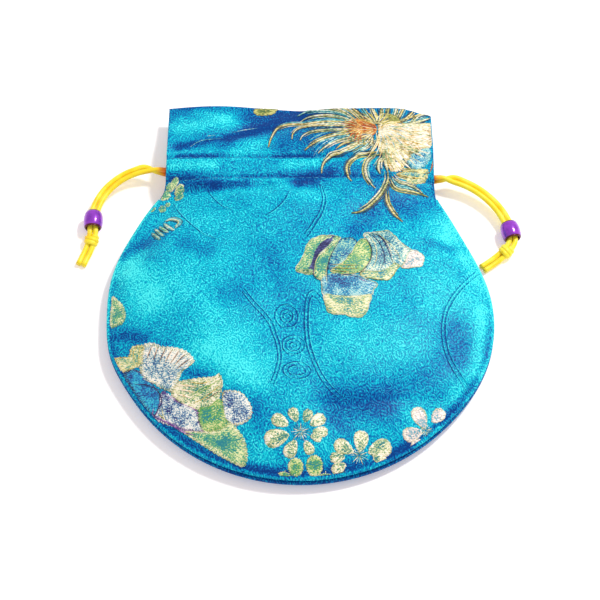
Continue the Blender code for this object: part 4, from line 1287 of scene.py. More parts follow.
def tube(route: Array, radius: float, sides: int = 12, flat: float = 1.0
         ) -> Tuple[Array, List[Face], Array]:
    """Sweep a round section along a route.

    Args:
        route: The middle line, one point to a row.
        radius: The section's radius.
        sides: How many corners the section has.
        flat: The section's height over its width.

    Returns:
        The vertices, the faces, and for each vertex its way along and its way round, in mm.
    """
    ahead = np.gradient(route, axis=0)
    ahead /= np.linalg.norm(ahead, axis=1)[:, None]
    side = np.cross(ahead[0], (0.0, 0.0, 1.0))
    side /= np.linalg.norm(side)
    rings = []
    lay = []
    way = np.concatenate([[0.0], np.cumsum(np.linalg.norm(np.diff(route, axis=0), axis=1))])
    angles = np.arange(sides) * 2 * math.pi / sides
    for index, (point, along) in enumerate(zip(route, ahead)):
        side = side - along * side.dot(along)
        side /= np.linalg.norm(side)
        above = np.cross(side, along)
        rings.append(point + radius * (np.cos(angles)[:, None] * side
                                       + flat * np.sin(angles)[:, None] * above))
        lay.append(np.stack([np.full(sides, way[index]), angles * radius], axis=1) / MM)
    faces: List[Face] = []
    for ring in range(len(route) - 1):
        for corner in range(sides):
            near = ring * sides + corner
            next_one = ring * sides + (corner + 1) % sides
            faces.append((near, near + sides, next_one + sides, next_one))
    last = (len(route) - 1) * sides
    faces.append(tuple(range(sides)))
    faces.append(tuple(last + corner for corner in reversed(range(sides))))
    return np.vstack(rings), faces, np.vstack(lay)


class Threadwork:
    """Lays threads and closed fields on the front panel."""

    def __init__(self, cut: PouchCut) -> None:
        """Keep the cloth that the threads lie on."""
        self.cut = cut
        self.draft = Draft()

    def drape(self, flat: Array, lift: Array) -> Array:
        """Put places on the cloth.

        Args:
            flat: One x and y to a row.
            lift: Each place's height above the cloth's surface.

        Returns:
            One point to a row.
        """
        kept = self.cut.keep_on_cloth(flat)
        height = self.cut.front_height(kept[:, 0], kept[:, 1]) + self.cut.cloth / 2 + lift
        return np.column_stack([kept, height])

    def ribbon(self, points: Sequence[Place], width: float, thread: Optional[Thread],
               lift: float, height: float, blunt: float = 0.25, step: float = 0.55) -> None:
        """Lay one thread or petal along a line.

        Args:
            points: The line, in millimetres.
            width: Its full width, in millimetres.
            thread: What it is made of.
            lift: How far its edge lies above the cloth, in millimetres.
            height: Its own height, in millimetres.
            blunt: Its width at the ends, over its full width.
            step: How far apart its sections are, in millimetres.
        """
        route = smooth_route(points, step)
        ahead = np.gradient(route, axis=0)
        ahead /= np.linalg.norm(ahead, axis=1)[:, None] + 1e-9
        side = np.column_stack([-ahead[:, 1], ahead[:, 0]])
        share = np.linspace(0, 1, len(route))
        swell = blunt + (1 - blunt) * np.minimum(1.0, np.minimum(share * 4, (1 - share) * 3.2))
        profile = ((-1.0, 0.0), (-0.55, 0.80), (0.0, 1.0), (0.55, 0.80), (1.0, 0.0), (0.0, -0.15))
        flat = np.concatenate([route + side * (swell * width / 2 * across)[:, None]
                               for across, _ in profile])
        lifts = np.concatenate([lift + height * np.sqrt(swell) * up for _, up in profile])
        points3 = self.drape(flat * MM, lifts * MM)
        rows, sides = len(route), len(profile)
        faces: List[Face] = []
        for row in range(rows - 1):
            for corner in range(sides):
                other = (corner + 1) % sides
                faces.append((corner * rows + row, corner * rows + row + 1,
                              other * rows + row + 1, other * rows + row)[::-1])
        faces.append(tuple(corner * rows for corner in range(sides))[::-1])
        faces.append(tuple(corner * rows + rows - 1 for corner in range(sides)))
        self.draft.add(points3, faces, thread)

    def field(self, outline: Sequence[Place], thread: Thread, edge: Thread,
              lift: float = 0.10, height: float = 0.14, rings: int = 6,
              scallop: float = 0.34, outlined: bool = False, focus: Optional[Place] = None) -> None:
        """Fill a closed outline with thread and lay an edge round it.

        Args:
            outline: The outline, in millimetres.
            thread: What fills it.
            edge: What is laid round it.
            lift: How far its edge lies above the cloth, in millimetres.
            height: Its own height, in millimetres.
            rings: How many rings the filling has.
            scallop: How deep the edge is scalloped, in millimetres.
            outlined: Whether the edge is one thread, or else a comb of short stitches.
            focus: The flower's heart, which its veins run to, in millimetres.
        """
        ring = smooth_route(outline, 0.35, closed=True)
        middle = self.apex(ring, focus)
        steps = np.linalg.norm(np.roll(ring, -1, axis=0) - ring, axis=1)
        way = np.concatenate([[0.0], np.cumsum(steps)[:-1]])
        arms = ring - middle
        arms /= np.linalg.norm(arms, axis=1)[:, None] + 1e-9
        ring = ring + arms * (scallop * (np.abs(np.sin(way * math.pi / SCALLOP_PITCH)) - 0.5))[:, None]
        shares = np.linspace(1.0, 0.0, rings + 1)[:-1]
        flat = np.concatenate([ring + (middle - ring) * (1 - share) for share in shares]
                              + [middle[None], ring])
        dome = np.concatenate([np.full(len(ring), lift + height * (1 - share ** 8)) for share in shares]
                              + [np.array([lift + height]), np.full(len(ring), -0.08)])
        points3 = self.drape(flat * MM, dome * MM)
        count = len(ring)
        turn = np.sum(ring[:, 0] * np.roll(ring[:, 1], -1) - ring[:, 1] * np.roll(ring[:, 0], -1))
        faces: List[Face] = []
        centre = rings * count
        for index in range(count):
            other = (index + 1) % count
            for row in range(rings - 1):
                faces.append((row * count + index, row * count + other,
                              (row + 1) * count + other, (row + 1) * count + index))
            faces.append(((rings - 1) * count + index, (rings - 1) * count + other, centre))
            faces.append((centre + 1 + index, centre + 1 + other, other, index))
        faces.append(tuple(centre + 1 + index for index in reversed(range(count))))
        if turn < 0:
            faces = [face[::-1] for face in faces]
        heart = np.concatenate([np.repeat(1 - shares, count), [1.0], np.zeros(count)])
        marks = np.column_stack([heart, np.concatenate([np.tile(way, rings), [0.0], way])])
        self.draft.add(points3, faces, thread, marks)
        if outlined:
            loop = list(map(tuple, ring)) + [tuple(ring[0])]
            self.ribbon(loop[::3] + [loop[-1]], 0.22, edge, lift + 0.03, 0.09, 0.9)
        else:
            self.comb(ring, middle, edge, lift + 0.05)

    @staticmethod
    def apex(ring: Array, focus: Optional[Place]) -> Array:
        """Find the point that a field's veins run to.

        Args:
            ring: The field's outline.
            focus: The flower's heart, or nothing for the field's own middle.

        Returns:
            The point nearest to the heart from which the whole outline is seen.
        """
        middle = ring.mean(axis=0)
        if focus is None:
            return middle
        for share in (0.9, 0.75, 0.6, 0.45, 0.3, 0.15):
            point = middle + (np.array(focus) - middle) * share
            arms = ring - point
            after = np.roll(arms, -1, axis=0)
            turns = arms[:, 0] * after[:, 1] - arms[:, 1] * after[:, 0]
            if (turns > 0.02).all() or (turns < -0.02).all():
                return point
        return middle

    def comb(self, ring: Array, middle: Array, thread: Thread, lift: float) -> None:
        """Bind an edge with short stitches that point at the field's middle.

        Args:
            ring: The edge, in millimetres.
            middle: The field's middle.
            thread: What they are sewn with.
            lift: How far they lie above the cloth, in millimetres.
        """
        for number, place in enumerate(ring[::2]):
            arm = middle - place
            arm /= np.linalg.norm(arm) + 1e-9
            long = 1.0 + 0.7 * (number * 3 % 4) / 3
            self.ribbon((tuple(place - arm * 0.10), tuple(place + arm * long)), 0.30, thread,
                        lift, 0.13, 0.5, 0.6)

    def oval(self, thread: Thread, petal: Sequence[float], heart: Optional[Place]) -> None:
        """Lay one oval petal with a lighter heart and a darker edge.

        Args:
            thread: What fills it.
            petal: Its x, y and size, or its x, y, two radii and turn.
            heart: The blossom's heart, in millimetres, or nothing.
        """
        x, y = petal[:2]
        if heart is None:
            long, wide, taper, lean = petal[2], petal[3], 0.0, math.radians(petal[4])
        else:
            long, wide, taper = 0.62 * petal[2], 0.42 * petal[2], 0.34
            lean = math.atan2(y - heart[1], x - heart[0])
        outline = []
        for step in range(12):
            angle = step * math.pi / 6
            out = 1.08 * long * math.cos(angle)
            aside = 1.08 * wide * math.sin(angle) * (1 + taper * math.cos(angle))
            outline.append((x + out * math.cos(lean) - aside * math.sin(lean),
                            y + out * math.sin(lean) + aside * math.cos(lean)))
        self.field(outline, thread, CREAM, 0.08, 0.22, 4, 0.20, False, heart)

    def fan(self, centre: Place, spread: Place, reach: Place, count: int, curl: float,
            threads: Sequence[Thread], width: float, lift: float = 0.22) -> None:
        """Lay threads that spread from a centre like the ribs of a fan.

        Args:
            centre: Where they start, in millimetres.
            spread: The first and last direction, in degrees.
            reach: How far from the centre they start and end, in millimetres.
            count: How many there are.
            curl: How far they turn aside on their way, in degrees.
            threads: The threads, used in turn.
            width: Their width, in millimetres.
            lift: How far they lie above the cloth, in millimetres.
        """
        for number in range(count):
            share = number / max(1, count - 1)
            turn = math.radians(spread[0] + (spread[1] - spread[0]) * share)
            far = reach[1] * (1 - 0.22 * (number * 7 % 5) / 4)
            line = []
            for way in (0.0, 0.35, 0.7, 1.0):
                lean = turn + math.radians(curl) * way * way
                out = reach[0] + (far - reach[0]) * way
                line.append((centre[0] + out * math.cos(lean), centre[1] + out * math.sin(lean)))
            self.ribbon(line, width, threads[number % len(threads)], lift, 0.16)

    def finish(self, name: str, box: ThreadBox, replaced: Sequence[str], slot: str) -> Thing:
        """Make the piece of all that was laid.

        Args:
            name: The piece's name.
            box: Where the materials are.
            replaced: The CAD nodes that it stands for.
            slot: Not used.

        Returns:
            The new piece.
        """
        materials = {thread: box.take(thread) for thread in set(self.draft.threads)}
        made = self.draft.build(name, materials)
        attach(made, "pouch")
        if replaced:
            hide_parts(*replaced)
        LOG.info("%s: %d faces", name, len(made.data.polygons))
        return made


@dataclass
class StudioView:
    """The camera, the pale table and the lamps."""

    distance: float = 0.600
    elevation: float = 60.0
    target: Point = (0.0, -0.0017, 0.0)
    lens: float = 114.3
    floor_size: float = 12.0
    floor_glow: float = 0.20
    key_power: float = 6.8
    fill_power: float = 0.9
    sky: Tuple[float, ...] = (1, 0.905, 0.895, 1)
    sky_strength: float = 0.68

    def place_camera(self) -> None:
        """Add the camera where the photographer stood."""
        tilt = math.radians(self.elevation)
        target = Vector(self.target)
        eye = target + self.distance * Vector((0.0, -math.cos(tilt), math.sin(tilt)))
        deselect()
        bpy.ops.object.camera_add(location=eye)
        camera = bpy.context.object
        camera.name = "camera"
        camera.rotation_euler = (math.radians(90 - self.elevation), 0.0, 0.0)
        camera.data.lens = self.lens
        camera.data.sensor_width = 36.0
        camera.data.clip_start = 0.01
        bpy.context.scene.camera = camera

    def lay_floor(self) -> None:
        """Add the pale table."""
        deselect()
        bpy.ops.mesh.primitive_plane_add(size=self.floor_size, location=(0, 0, 0))
        floor = bpy.context.object
        floor.name = "table_top"
        board = NodeBoard("table_white")
        grain = board.noise(board.millimetres(), 0.02, 2.0)
        colour = board.ramp(grain, ((0.3, (98.5, 98.2, 98.0)), (0.7, (99.0, 98.8, 98.6))))
        floor.data.materials.append(board.dress(
            colour, Roughness=0.9, Emission_Color=(1.0, 0.975, 0.97, 1.0),
            Emission_Strength=self.floor_glow, Specular_IOR_Level=0.0))

    def add_lamp(self, name: str, place: Point, size: float, power: float, colour: Colour) -> None:
        """Add a square lamp that faces the pouch.

        Args:
            name: Its name.
            place: Where it hangs.
            size: Its side.
            power: Its power, in watts.
            colour: Its colour, from 0 to 1.
        """
        deselect()
        bpy.ops.object.light_add(type="AREA", location=place)
        lamp = bpy.context.object
        lamp.name = name
        lamp.data.size = size
        lamp.data.energy = power
        lamp.data.color = colour
        lamp.rotation_euler = (Vector(place)).to_track_quat("Z", "Y").to_euler()

    def light(self) -> None:
        """Add the lamps and the world's light."""
        self.add_lamp("key_lamp", (0.46, 0.36, 0.86), 0.13, self.key_power, (1.0, 0.99, 0.98))
        self.add_lamp("fill_lamp", (-0.3, -0.7, 0.9), 0.9, self.fill_power, (1.0, 0.99, 0.98))
        world = bpy.data.worlds.new("studio")
        world.use_nodes = True
        tree = world.node_tree
        sky = tree.nodes["Background"]
        sky.inputs["Color"].default_value = self.sky
        sky.inputs["Strength"].default_value = self.sky_strength
        plain = tree.nodes.new("ShaderNodeBackground")
        plain.inputs["Color"].default_value = (1, 1, 1, 1)
        ray = tree.nodes.new("ShaderNodeLightPath")
        choice = tree.nodes.new("ShaderNodeMixShader")
        tree.links.new(ray.outputs["Is Camera Ray"], choice.inputs[0])
        tree.links.new(sky.outputs[0], choice.inputs[1])
        tree.links.new(plain.outputs[0], choice.inputs[2])
        tree.links.new(choice.outputs[0], tree.nodes["World Output"].inputs["Surface"])
        bpy.context.scene.world = world
        bpy.context.scene.view_settings.view_transform = "Standard"


@dataclass
class CordPair:
    """One cord's two free strands, their knot, the hidden run in the casings, and the bead."""

    side: str
    pair: Tuple[Point, ...]
    casing: Tuple[Point, ...]
    bend: Tuple[Point, float, float, float]
    satin: Material
    plastic: Material
    bore_shade: Material
    diameter: float = 0.0017
    spacing: float = 1.8
    knot_point: int = 4
    bead_radius: float = 0.0031
    bead_end: float = 0.0026
    bead_length: float = 0.0058
    bead_bore: float = 0.00215
    bead_lip: float = 0.0003
    knot_radius: float = 0.00165
    knot_length: float = 0.0030
    pull_inside: float = 0.65
    pull_outside: float = 0.80
    routes: List[Tuple[Thing, Array, float]] = field(default_factory=list)

    def strand_line(self, hand: float) -> List[Array]:
        """Move the pair's middle line sideways to one of its strands."""
        line = np.array(self.pair)
        moved = []
        for index in range(len(line)):
            along = line[min(index + 1, len(line) - 1)] - line[max(index - 1, 0)]
            across = np.array([-along[1], along[0], 0.0])
            across /= np.linalg.norm(across)
            moved.append(line[index] + across * hand * self.spacing / 2)
        return moved

    def lay_tube(self, name: str, route: Array, sides: int = 14, flat: float = 1.0) -> Thing:
        """Make one length of cord with its thread lay.

        Args:
            name: The piece's name.
            route: Its middle line.
            sides: Corners of its section.
            flat: Its height over its width.

        Returns:
            The new piece.
        """
        places, faces, lay = tube(route, self.diameter / 2, sides, flat)
        draft = Draft()
        draft.add(places, faces)
        made = draft.build(name, {None: self.satin})
        layer = made.data.uv_layers.new(name="lay")
        for loop in made.data.loops:
            layer.data[loop.index].uv = lay[loop.vertex_index]
        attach(made, "pouch")
        return made

    def slit(self, inner: Point, outer: Point) -> List[Array]:
        """Return a strand's way out of its casing, drawn in towards the other strand's.

        Args:
            inner: The route's last point inside the casing.
            outer: Its first point outside the slit.

        Returns:
            The two points.
        """
        middle = (np.array(self.casing[0]) + np.array(self.casing[-1])) / 2
        middle_in = (np.array(self.casing[1]) + np.array(self.casing[-2])) / 2
        return [np.array(inner) + (middle_in - np.array(inner)) * self.pull_inside,
                np.array(outer) + (middle - np.array(outer)) * self.pull_outside]

    def lay_strands(self) -> None:
        """Lay both free strands, each from the slit through the bead and knot to its end."""
        hand = 1.0 if self.pair[-1][0] > 0 else -1.0
        front = self.slit(self.casing[1], self.casing[0]) + self.strand_line(hand)[::-1]
        back = self.slit(self.casing[-2], self.casing[-1]) + self.strand_line(-hand)[::-1]
        for label, points in (("front", front), ("back", back)):
            route = smooth_route(np.array(points) * MM, 0.0009)
            piece = self.lay_tube(f"cord_{self.side}_{label}", route)
            length = float(np.linalg.norm(np.diff(route, axis=0), axis=1).sum())
            self.routes.append((piece, route, length))

    def tie_knot(self) -> Thing:
        """Wind the knot round both strands and take the cord's turns through it."""
        line = np.array(self.pair) * MM
        ahead = line[self.knot_point + 1] - line[self.knot_point - 1]
        ahead /= np.linalg.norm(ahead)
        side = np.cross(ahead, (0.0, 0.0, 1.0))
        side /= np.linalg.norm(side)
        above = np.cross(side, ahead)
        middle = line[self.knot_point]
        turns = np.linspace(-0.35, 2.2, 70) * 2 * math.pi
        share = np.linspace(0, 1, len(turns))
        pull = 1 - 0.55 * (np.exp(-share * 14) + np.exp(-(1 - share) * 14))
        reach = self.knot_radius * pull
        route = (middle + np.outer((share - 0.5) * self.knot_length, ahead)
                 + (reach * np.cos(turns))[:, None] * side
                 + (reach * 0.66 * np.sin(turns))[:, None] * above)
        return self.lay_tube(f"knot_{self.side}", route, 12, 0.82)

    def lay_hidden_run(self) -> Thing:
        """Lay the part of the cord that runs through both casings."""
        first = self.slit(self.casing[1], self.casing[0])[0]
        last = self.slit(self.casing[-2], self.casing[-1])[0]
        route = smooth_route(np.array([first, *self.casing[2:-2], last]) * MM, 0.002)
        return self.lay_tube(f"cord_{self.side}_cased", route, 10)

    def turn_bead(self) -> Thing:
        """Turn the bead and set it on the cord's bend."""
        half = self.bead_length / 2
        deselect()
        bpy.ops.mesh.primitive_circle_add(vertices=24, radius=1.0, fill_type="NOTHING")
        made = bpy.context.object
        made.name = f"bead_{self.side}_turned"
        profile = []
        for step in range(16):
            along = half * (1 - 2 * step / 15)
            share = abs(along) / half
            edge = 1 - max(0.0, share - 0.86) ** 2 * 9
            profile.append(((self.bead_end + (self.bead_radius - self.bead_end)
                             * (1 - share ** 2.2)) * edge, along))
        for step in range(8):
            along = half * (2 * step / 7 - 1)
            lip = self.bead_lip if step in (0, 7) else 0.0
            profile.append((self.bead_bore + lip, along))
        for vert, (radius, along) in zip(made.data.vertices, profile):
            vert.co = (radius, 0.0, along)
        bpy.ops.object.mode_set(mode="EDIT")
        bpy.ops.mesh.select_all(action="SELECT")
        bpy.ops.mesh.spin(steps=48, angle=2 * math.pi, center=(0, 0, 0), axis=(0, 0, 1))
        bpy.ops.mesh.select_all(action="SELECT")
        bpy.ops.mesh.remove_doubles(threshold=0.000005)
        bpy.ops.mesh.normals_make_consistent(inside=False)
        bpy.ops.mesh.faces_shade_smooth()
        bpy.ops.object.mode_set(mode="OBJECT")
        # Faces inside the bore take the second material, the painted shade
        for face in made.data.polygons:
            place = face.center
            if math.hypot(place.x, place.y) < self.bead_bore + self.bead_lip * 1.4:
                face.material_index = 1
        middle, radius, tilt, rest = self.bend
        facing = Vector((-math.sin(rest), math.cos(rest), 0)).to_track_quat("Z", "Y")
        made.data.transform(Matrix.Translation(Vector(middle) * MM) @ Matrix.Rotation(-tilt, 4, "Y")
            @ Matrix.Translation((radius * MM * math.cos(rest), radius * MM * math.sin(rest), 0))
            @ facing.to_matrix().to_4x4())
        made.data.materials.append(self.plastic)
        made.data.materials.append(self.bore_shade)
        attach(made, self.side + "_bead")
        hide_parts("bead_" + self.side)
        return made

    def build(self) -> None:
        """Make all of it, hide the model's cord and log each free strand's length."""
        self.lay_strands()
        knot = self.tie_knot()
        bead = self.turn_bead()
        self.lay_hidden_run()
        node = "drawcord_" + self.side
        for piece, route, length in self.routes:
            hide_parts(node)
            LOG.info("%s: %.1f mm of cord", piece.name, length / MM)


def places_of(mesh: bpy.types.Mesh) -> Array:
    """Return a mesh's vertices, one to a row."""
    places = np.empty(len(mesh.vertices) * 3)
    mesh.vertices.foreach_get("co", places)
    return places.reshape(-1, 3)


def store_satin(mesh: bpy.types.Mesh, value: Array) -> None:
    """Store the satin's tone and painted light and shade, and the direction of its warp, on a mesh.

    Args:
        mesh: The mesh.
        value: The tone and painted light and shade at each vertex.
    """
    layer = mesh.attributes.new("tone_and_painted_light", "FLOAT", "POINT")
    layer.data.foreach_set("value", value.astype(np.float32))
    warp = mesh.uv_layers.new(name="warp")
    index = np.empty(len(mesh.loops), dtype=np.int32)
    mesh.loops.foreach_get("vertex_index", index)
    warp.data.foreach_set("uv", (places_of(mesh)[index][:, :2] * 10).ravel())


@dataclass
class Panel:
    """One panel of the pouch as fine cloth."""

    name: str
    node: str
    columns: int
    body_rows: int
    header_rows: int
    inward: int
    roll: float
    cut: PouchCut
    area: float

    def rows(self) -> List[Tuple[str, float]]:
        """List the panel's rows.

        Returns:
            Each row's layer and its height along the side edge.
        """
        cut = self.cut
        corner = cut.centre_y - cut.rim * math.sin(math.pi / 4)
        low = cut.lower_stitch - cut.hem_below
        top = cut.mouth - cut.cloth / 2 - cut.fold
        casing = list(np.linspace(low, cut.upper_stitch + 0.0015, 22))
        rows = [("outer", y) for y in np.linspace(corner, low, self.body_rows)[:-1]]
        rows += [("outer", y) for y in casing]
        rows += [("outer", y) for y in np.linspace(casing[-1], top, self.header_rows)[1:]]
        for turn in np.linspace(0, math.pi, 6)[1:-1]:
            rows.append((f"fold {turn:.4f}", top))
        rows += [("hem", y) for y in np.linspace(top, casing[-1], self.header_rows // 3)]
        rows += [("hem", y) for y in reversed(casing[:-1])]
        return rows

    def height(self, x: Array, y: Array) -> Array:
        """Return the height of this panel's outer layer."""
        return self.cut.front_height(x, y) if self.inward < 0 else self.cut.back_height(x, y)

    def row_points(self, layer: str, side_y: float) -> Array:
        """Return one row of points across the panel.

        Args:
            layer: The row's layer.
            side_y: Its height along the side edge.

        Returns:
            One point to a row.
        """
        cut = self.cut
        u = np.linspace(0, 1, self.columns + 1)
        x, y = cut.row_place(u, side_y, self.roll)
        if layer == "outer":
            return np.column_stack([x, y, self.height(x, y)])
        if layer.startswith("fold"):
            turn = float(layer.split()[1])
            rise = self.height(x, y) + self.inward * cut.fold * (1 - math.cos(turn))
            return np.column_stack([x, y + cut.fold * math.sin(turn), rise])
        narrow = (cut.neck - cut.cut_back) / cut.neck
        wide = (cut.neck - cut.hem_inset) / cut.neck
        share = narrow + (wide - narrow) * float(
            ease(cut.upper_stitch + cut.tunnel_slope, cut.mouth, np.array(side_y)))
        x = x * share
        return np.column_stack([x, y, self.height(x, y) + self.inward * cut.layer_drop(side_y)])

    def turn_edge_in(self, bm: bmesh.types.BMesh, rim: set) -> None:
        """Fold the sewn edge round and run it back into the pouch.

        Args:
            bm: The panel's mesh.
            rim: The vertices along its sewn edge.
        """
        cut = self.cut
        centre = Vector((0, cut.centre_y, 0))
        facts = {}
        for vert in rim:
            arm = vert.co - centre
            arm.z = 0
            close = float(ease(cut.seam_end + 0.001, cut.seam_end - 0.009, np.array(vert.co.y)))
            facts[vert] = (arm.normalized(), cut.allowance * close)
        edges = [edge for edge in bm.edges if edge.is_boundary
                 and edge.verts[0] in rim and edge.verts[1] in rim]
        steps = [(math.sin(turn), 1 - math.cos(turn)) for turn in np.linspace(0, math.pi, 6)[1:]]
        steps.append((0.0, 2.0))
        before = (0.0, 0.0)
        for number, (out, down) in enumerate(steps):
            made = bmesh.ops.extrude_edge_only(bm, edges=edges)["geom"]
            edges = [item for item in made if isinstance(item, bmesh.types.BMEdge)]
            fresh = [item for item in made if isinstance(item, bmesh.types.BMVert)]
            near = {tuple(vert.co): fact for vert, fact in facts.items()}
            facts = {}
            for vert in fresh:
                arm, back = near[tuple(vert.co)]
                if number == len(steps) - 1:
                    vert.co -= arm * (cut.fold + back)
                else:
                    vert.co += arm * cut.fold * (out - before[0])
                    vert.co.z += self.inward * cut.fold * (down - before[1])
                facts[vert] = (arm, back)
            before = (out, down)

    def build(self, satin: Material, reverse: Material, rests_on: Sequence[str]) -> Thing:
        """Args:
            satin: The material of its right side.
            reverse: The material of its wrong side.
            rests_on: Not used.

        Returns:
            The new piece.
        """
        rows = self.rows()
        deselect()
        bpy.ops.mesh.primitive_grid_add(x_subdivisions=self.columns,
                                        y_subdivisions=len(rows) - 1, size=2)
        made = bpy.context.object
        made.name = self.name
        wide = self.columns + 1
        points = np.vstack([self.row_points(*row) for row in rows])
        made.data.vertices.foreach_set("co", points.ravel())
        bm = bmesh.new()
        bm.from_mesh(made.data)
        bm.verts.ensure_lookup_table()
        rim = set()
        for number, (layer, side_y) in enumerate(rows):
            if layer == "outer" and side_y <= self.cut.seam_end:
                across = range(wide) if number == 0 else (0, wide - 1)
                rim.update(bm.verts[number * wide + place] for place in across)
        self.turn_edge_in(bm, rim)
        bm.to_mesh(made.data)
        bm.free()
        if self.inward > 0:
            made.data.flip_normals()
        self.paint(made)
        solid = made.modifiers.new("Cloth", "SOLIDIFY")
        solid.thickness = self.cut.cloth
        solid.offset = 0.0
        solid.use_even_offset = True
        solid.material_offset = 1
        made.data.materials.append(satin)
        made.data.materials.append(reverse)
        made.data.shade_smooth()
        apply_modifiers(made)
        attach(made, "pouch")
        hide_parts(self.node)
        LOG.info("%s: %d faces", self.name, len(made.data.polygons))
        return made

    def paint(self, made: Thing) -> None:
        """Paint light and shade into the satin's colour: the front by its folds and slopes, with
        painted highlights and painted shade, the back with soft clouds and painted shade at its edge.

        Args:
            made: The panel.
        """
        x, y = places_of(made.data)[:, :2].T.copy()
        if self.inward < 0:
            # Front: painted highlights and painted shade from the table, the slopes and the edges
            value = self.cut.tone_and_painted_light(x, y)
        else:
            # Back: soft waves of lighter and darker satin, and painted shade along the sewn edge
            value = 0.05 + 0.35 * np.sin(x * 70 + 1.0) * np.sin(y * 55 + 0.4) \
                - 1.1 * bell(self.cut.seam_distance(x, y), 0.003)
        store_satin(made.data, value)


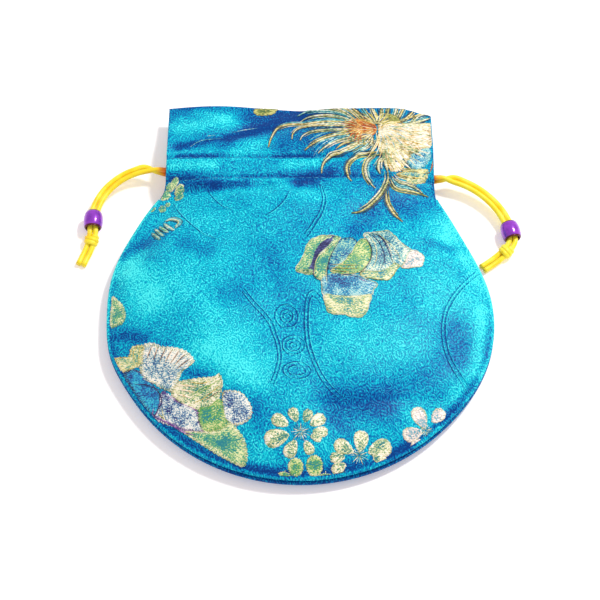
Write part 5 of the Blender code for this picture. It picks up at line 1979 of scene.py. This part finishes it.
class Embroidery:
    """All the woven flowers of the front panel."""

    def __init__(self, cut: PouchCut, box: ThreadBox) -> None:
        """Keep the cloth and the threads."""
        self.cut = cut
        self.box = box

    def chrysanthemum(self) -> None:
        """Lay the large chrysanthemum across the header."""
        work = Threadwork(self.cut)
        for thread, edge, *outline in CHRYSANTHEMUM_FIELDS:
            work.field(in_mm(outline), thread, edge, focus=CHRYSANTHEMUM_HEART)
        beside = (AQUA, CREAM, SHADOW, OLIVE)
        for number, (_, width, *values) in enumerate(CHRYSANTHEMUM_CURLS):
            line = in_mm(values)
            # A wider dark ribbon under each curl: painted shadow
            work.ribbon(line, width * 2.3, SHADOW, 0.02, 0.10, 0.3)
            for hand, side in ((-1, 0), (1, 1)):
                part = np.array(line[:max(3, int(len(line) * 0.72) + 1)])
                ahead = np.gradient(part, axis=0)
                ahead /= np.linalg.norm(ahead, axis=1)[:, None]
                aside = part + np.column_stack([-ahead[:, 1], ahead[:, 0]]) * hand * width * 1.05
                work.ribbon(aside, width * 0.62, beside[(number + side) % 4], 0.08, 0.14, 0.3)
        for thread, width, *values in CHRYSANTHEMUM_CURLS:
            line = in_mm(values)
            work.ribbon(line, width * 1.05, thread, 0.12, 0.26, 0.3)
            work.ribbon(line[:-1], width * 0.36, CREAM, 0.34, 0.10, 0.4)
        for fan in CHRYSANTHEMUM_FANS:
            work.fan(*fan)
        work.finish("chrysanthemum_thread", self.box, ["chrysanthemum"], "gold_thread")

    def iris(self) -> None:
        """Lay the iris in the middle of the pouch."""
        work = Threadwork(self.cut)
        for number, (thread, edge, *outline) in enumerate(IRIS_FIELDS):
            work.field(in_mm(outline), thread, edge, 0.06 + 0.02 * number, outlined=True,
                       focus=IRIS_HEART)
        for thread, width, *line in IRIS_STROKES:
            work.ribbon(in_mm(line), width, thread, 0.34, 0.16)
        work.finish("iris_thread", self.box, ["iris"], "iris_thread")

    def peony(self) -> None:
        """Lay the peony and its bud at the lower left."""
        work = Threadwork(self.cut)
        for number, (thread, edge, *outline) in enumerate(PEONY_FIELDS):
            work.field(in_mm(outline), thread, edge, 0.06 + 0.02 * number, focus=PEONY_HEART)
        for thread, width, *line in PEONY_STROKES:
            work.ribbon(in_mm(line), width, thread, 0.30, 0.16)
        work.finish("peony_thread", self.box, ["peony"], "peony_thread")
        bud = Threadwork(self.cut)
        for thread, edge, *outline in BUD_FIELDS:
            bud.field(in_mm(outline), thread, edge, 0.12, 0.3)
        bud.finish("peony_bud_thread", self.box, ["peony_bud"], "leaf_thread")

    def ovals(self) -> None:
        """Lay the petals of the small blossoms and the sprigs."""
        for blossom in BLOSSOMS:
            work = Threadwork(self.cut)
            for petal in blossom.petals:
                work.oval(blossom.thread, petal, blossom.heart)
            if blossom.heart is not None:
                work.fan(blossom.heart, (0, 337.5), (0.3, blossom.reach), 16, 0,
                         (AQUA, CREAM, MIST), 0.30, 0.05)
            work.finish(blossom.node + "_thread", self.box, [blossom.node], "leaf_thread")
        sprig = Threadwork(self.cut)
        for thread, width, *values in SPRIG_STROKES:
            line = in_mm(values)
            middle = np.mean(line, axis=0)
            longer = [tuple(middle + (np.array(place) - middle) * 1.25) for place in line]
            # A wider dark ribbon under each stroke: painted shadow
            sprig.ribbon(longer, width * 4.0, SHADOW, 0.02, 0.08, 0.4)
            sprig.ribbon(longer, width * 3.0, AQUA, 0.08, 0.22, 0.3)
            sprig.ribbon(line, width, thread, 0.26, 0.12, 0.4)
        sprig.finish("sprig_lower_thread", self.box, ["sprig_lower"], "leaf_thread")
        leaves = (("edge_leaf_thread", ["edge_leaf"]), ("mouth_leaf_thread", []))
        for (name, nodes), (thread, edge, *outline) in zip(leaves, EDGE_FIELDS):
            work = Threadwork(self.cut)
            work.field(in_mm(outline), thread, edge)
            work.finish(name, self.box, nodes, "leaf_thread")

    def ground_lines(self, satin: Material) -> None:
        """Lay the tone-on-tone lines of the ogee lattice, each dark line with a lighter line beside it
        as a painted highlight.

        Args:
            satin: The cloth's own material.
        """
        work = Threadwork(self.cut)
        ovals = [[(x + wide * math.cos(turn), y + high * math.sin(turn))
                  for turn in np.linspace(0, 2 * math.pi, 15)] for x, y, wide, high in MEDALLION]
        for line in [in_mm(values) for values in OGEES] + ovals:
            work.ribbon(line, 0.46, None, 0.0, 0.08, 0.6, 0.5)
            # A narrower line beside each, offset to the right and down and painted lighter: a painted
            # highlight
            work.ribbon([(x + 0.44, y - 0.2) for x, y in line], 0.28, None, 0.0, 0.12, 0.6, 0.5)
        made = work.draft.build("ogee_lines", {None: satin})
        x, y = places_of(made.data)[:, :2].T.copy()
        # Dark lines, then lighter painted-highlight lines; both also carry the cloth's painted light
        # and shade
        tone = np.concatenate([np.full(len(part), -0.95 if number % 2 == 0 else 0.80)
                               for number, part in enumerate(work.draft.places)])
        store_satin(made.data, self.cut.tone_and_painted_light(x, y) + tone)
        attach(made, "pouch")

    def casing_stitches(self) -> None:
        """Sew the two stitch lines of the front casing."""
        work = Threadwork(self.cut)
        half = self.cut.neck / MM - 1.2
        for line_y in (self.cut.lower_stitch, self.cut.upper_stitch):
            for place in np.arange(-half, half, 2.3):
                y = line_y / MM
                work.ribbon(((place, y), (place + 0.85, y), (place + 1.7, y)), 0.30,
                            SEWING, 0.0, 0.16, 0.5, 0.4)
        # The loose threads, one of them painted shade along the right slit's edge
        for thread, width, *line in LOOSE_THREADS:
            work.ribbon(in_mm(line), width, thread, 0.02, 0.10)
        work.finish("casing_stitches", self.box, [], "brocade")


def main() -> None:
    """Build the scene."""
    logging.basicConfig(level=logging.INFO, format="%(name)s: %(message)s")
    studio = StudioView()
    studio.place_camera()
    cord_satin = CordFinish().build()
    plastic = BeadFinish().build()
    bore_shade = BeadFinish().build_bore_shade()
    for side, pair, casing, bend in (("left", LEFT_PAIR, LEFT_CASING, LEFT_BEND),
                                     ("right", RIGHT_PAIR, RIGHT_CASING, RIGHT_BEND)):
        CordPair(side, pair, casing, bend, cord_satin, plastic, bore_shade).build()
    satin = BrocadeFinish().build()
    reverse = ReverseFinish().build()
    Panel("back_cloth", "back_panel", 110, 84, 16, 1, CUT.back_roll, CUT, 0.0185).build(
        satin, reverse, ["table_top"])
    Panel("front_cloth", "front_panel", 170, 118, 30, -1, 0.0, CUT, 0.0190).build(
        satin, reverse, ["back_cloth"])
    flowers = Embroidery(CUT, ThreadBox())
    flowers.ground_lines(satin)
    flowers.casing_stitches()
    flowers.chrysanthemum()
    flowers.iris()
    flowers.peony()
    flowers.ovals()
    studio.lay_floor()
    studio.light()


if __name__ == "__main__":
    main()
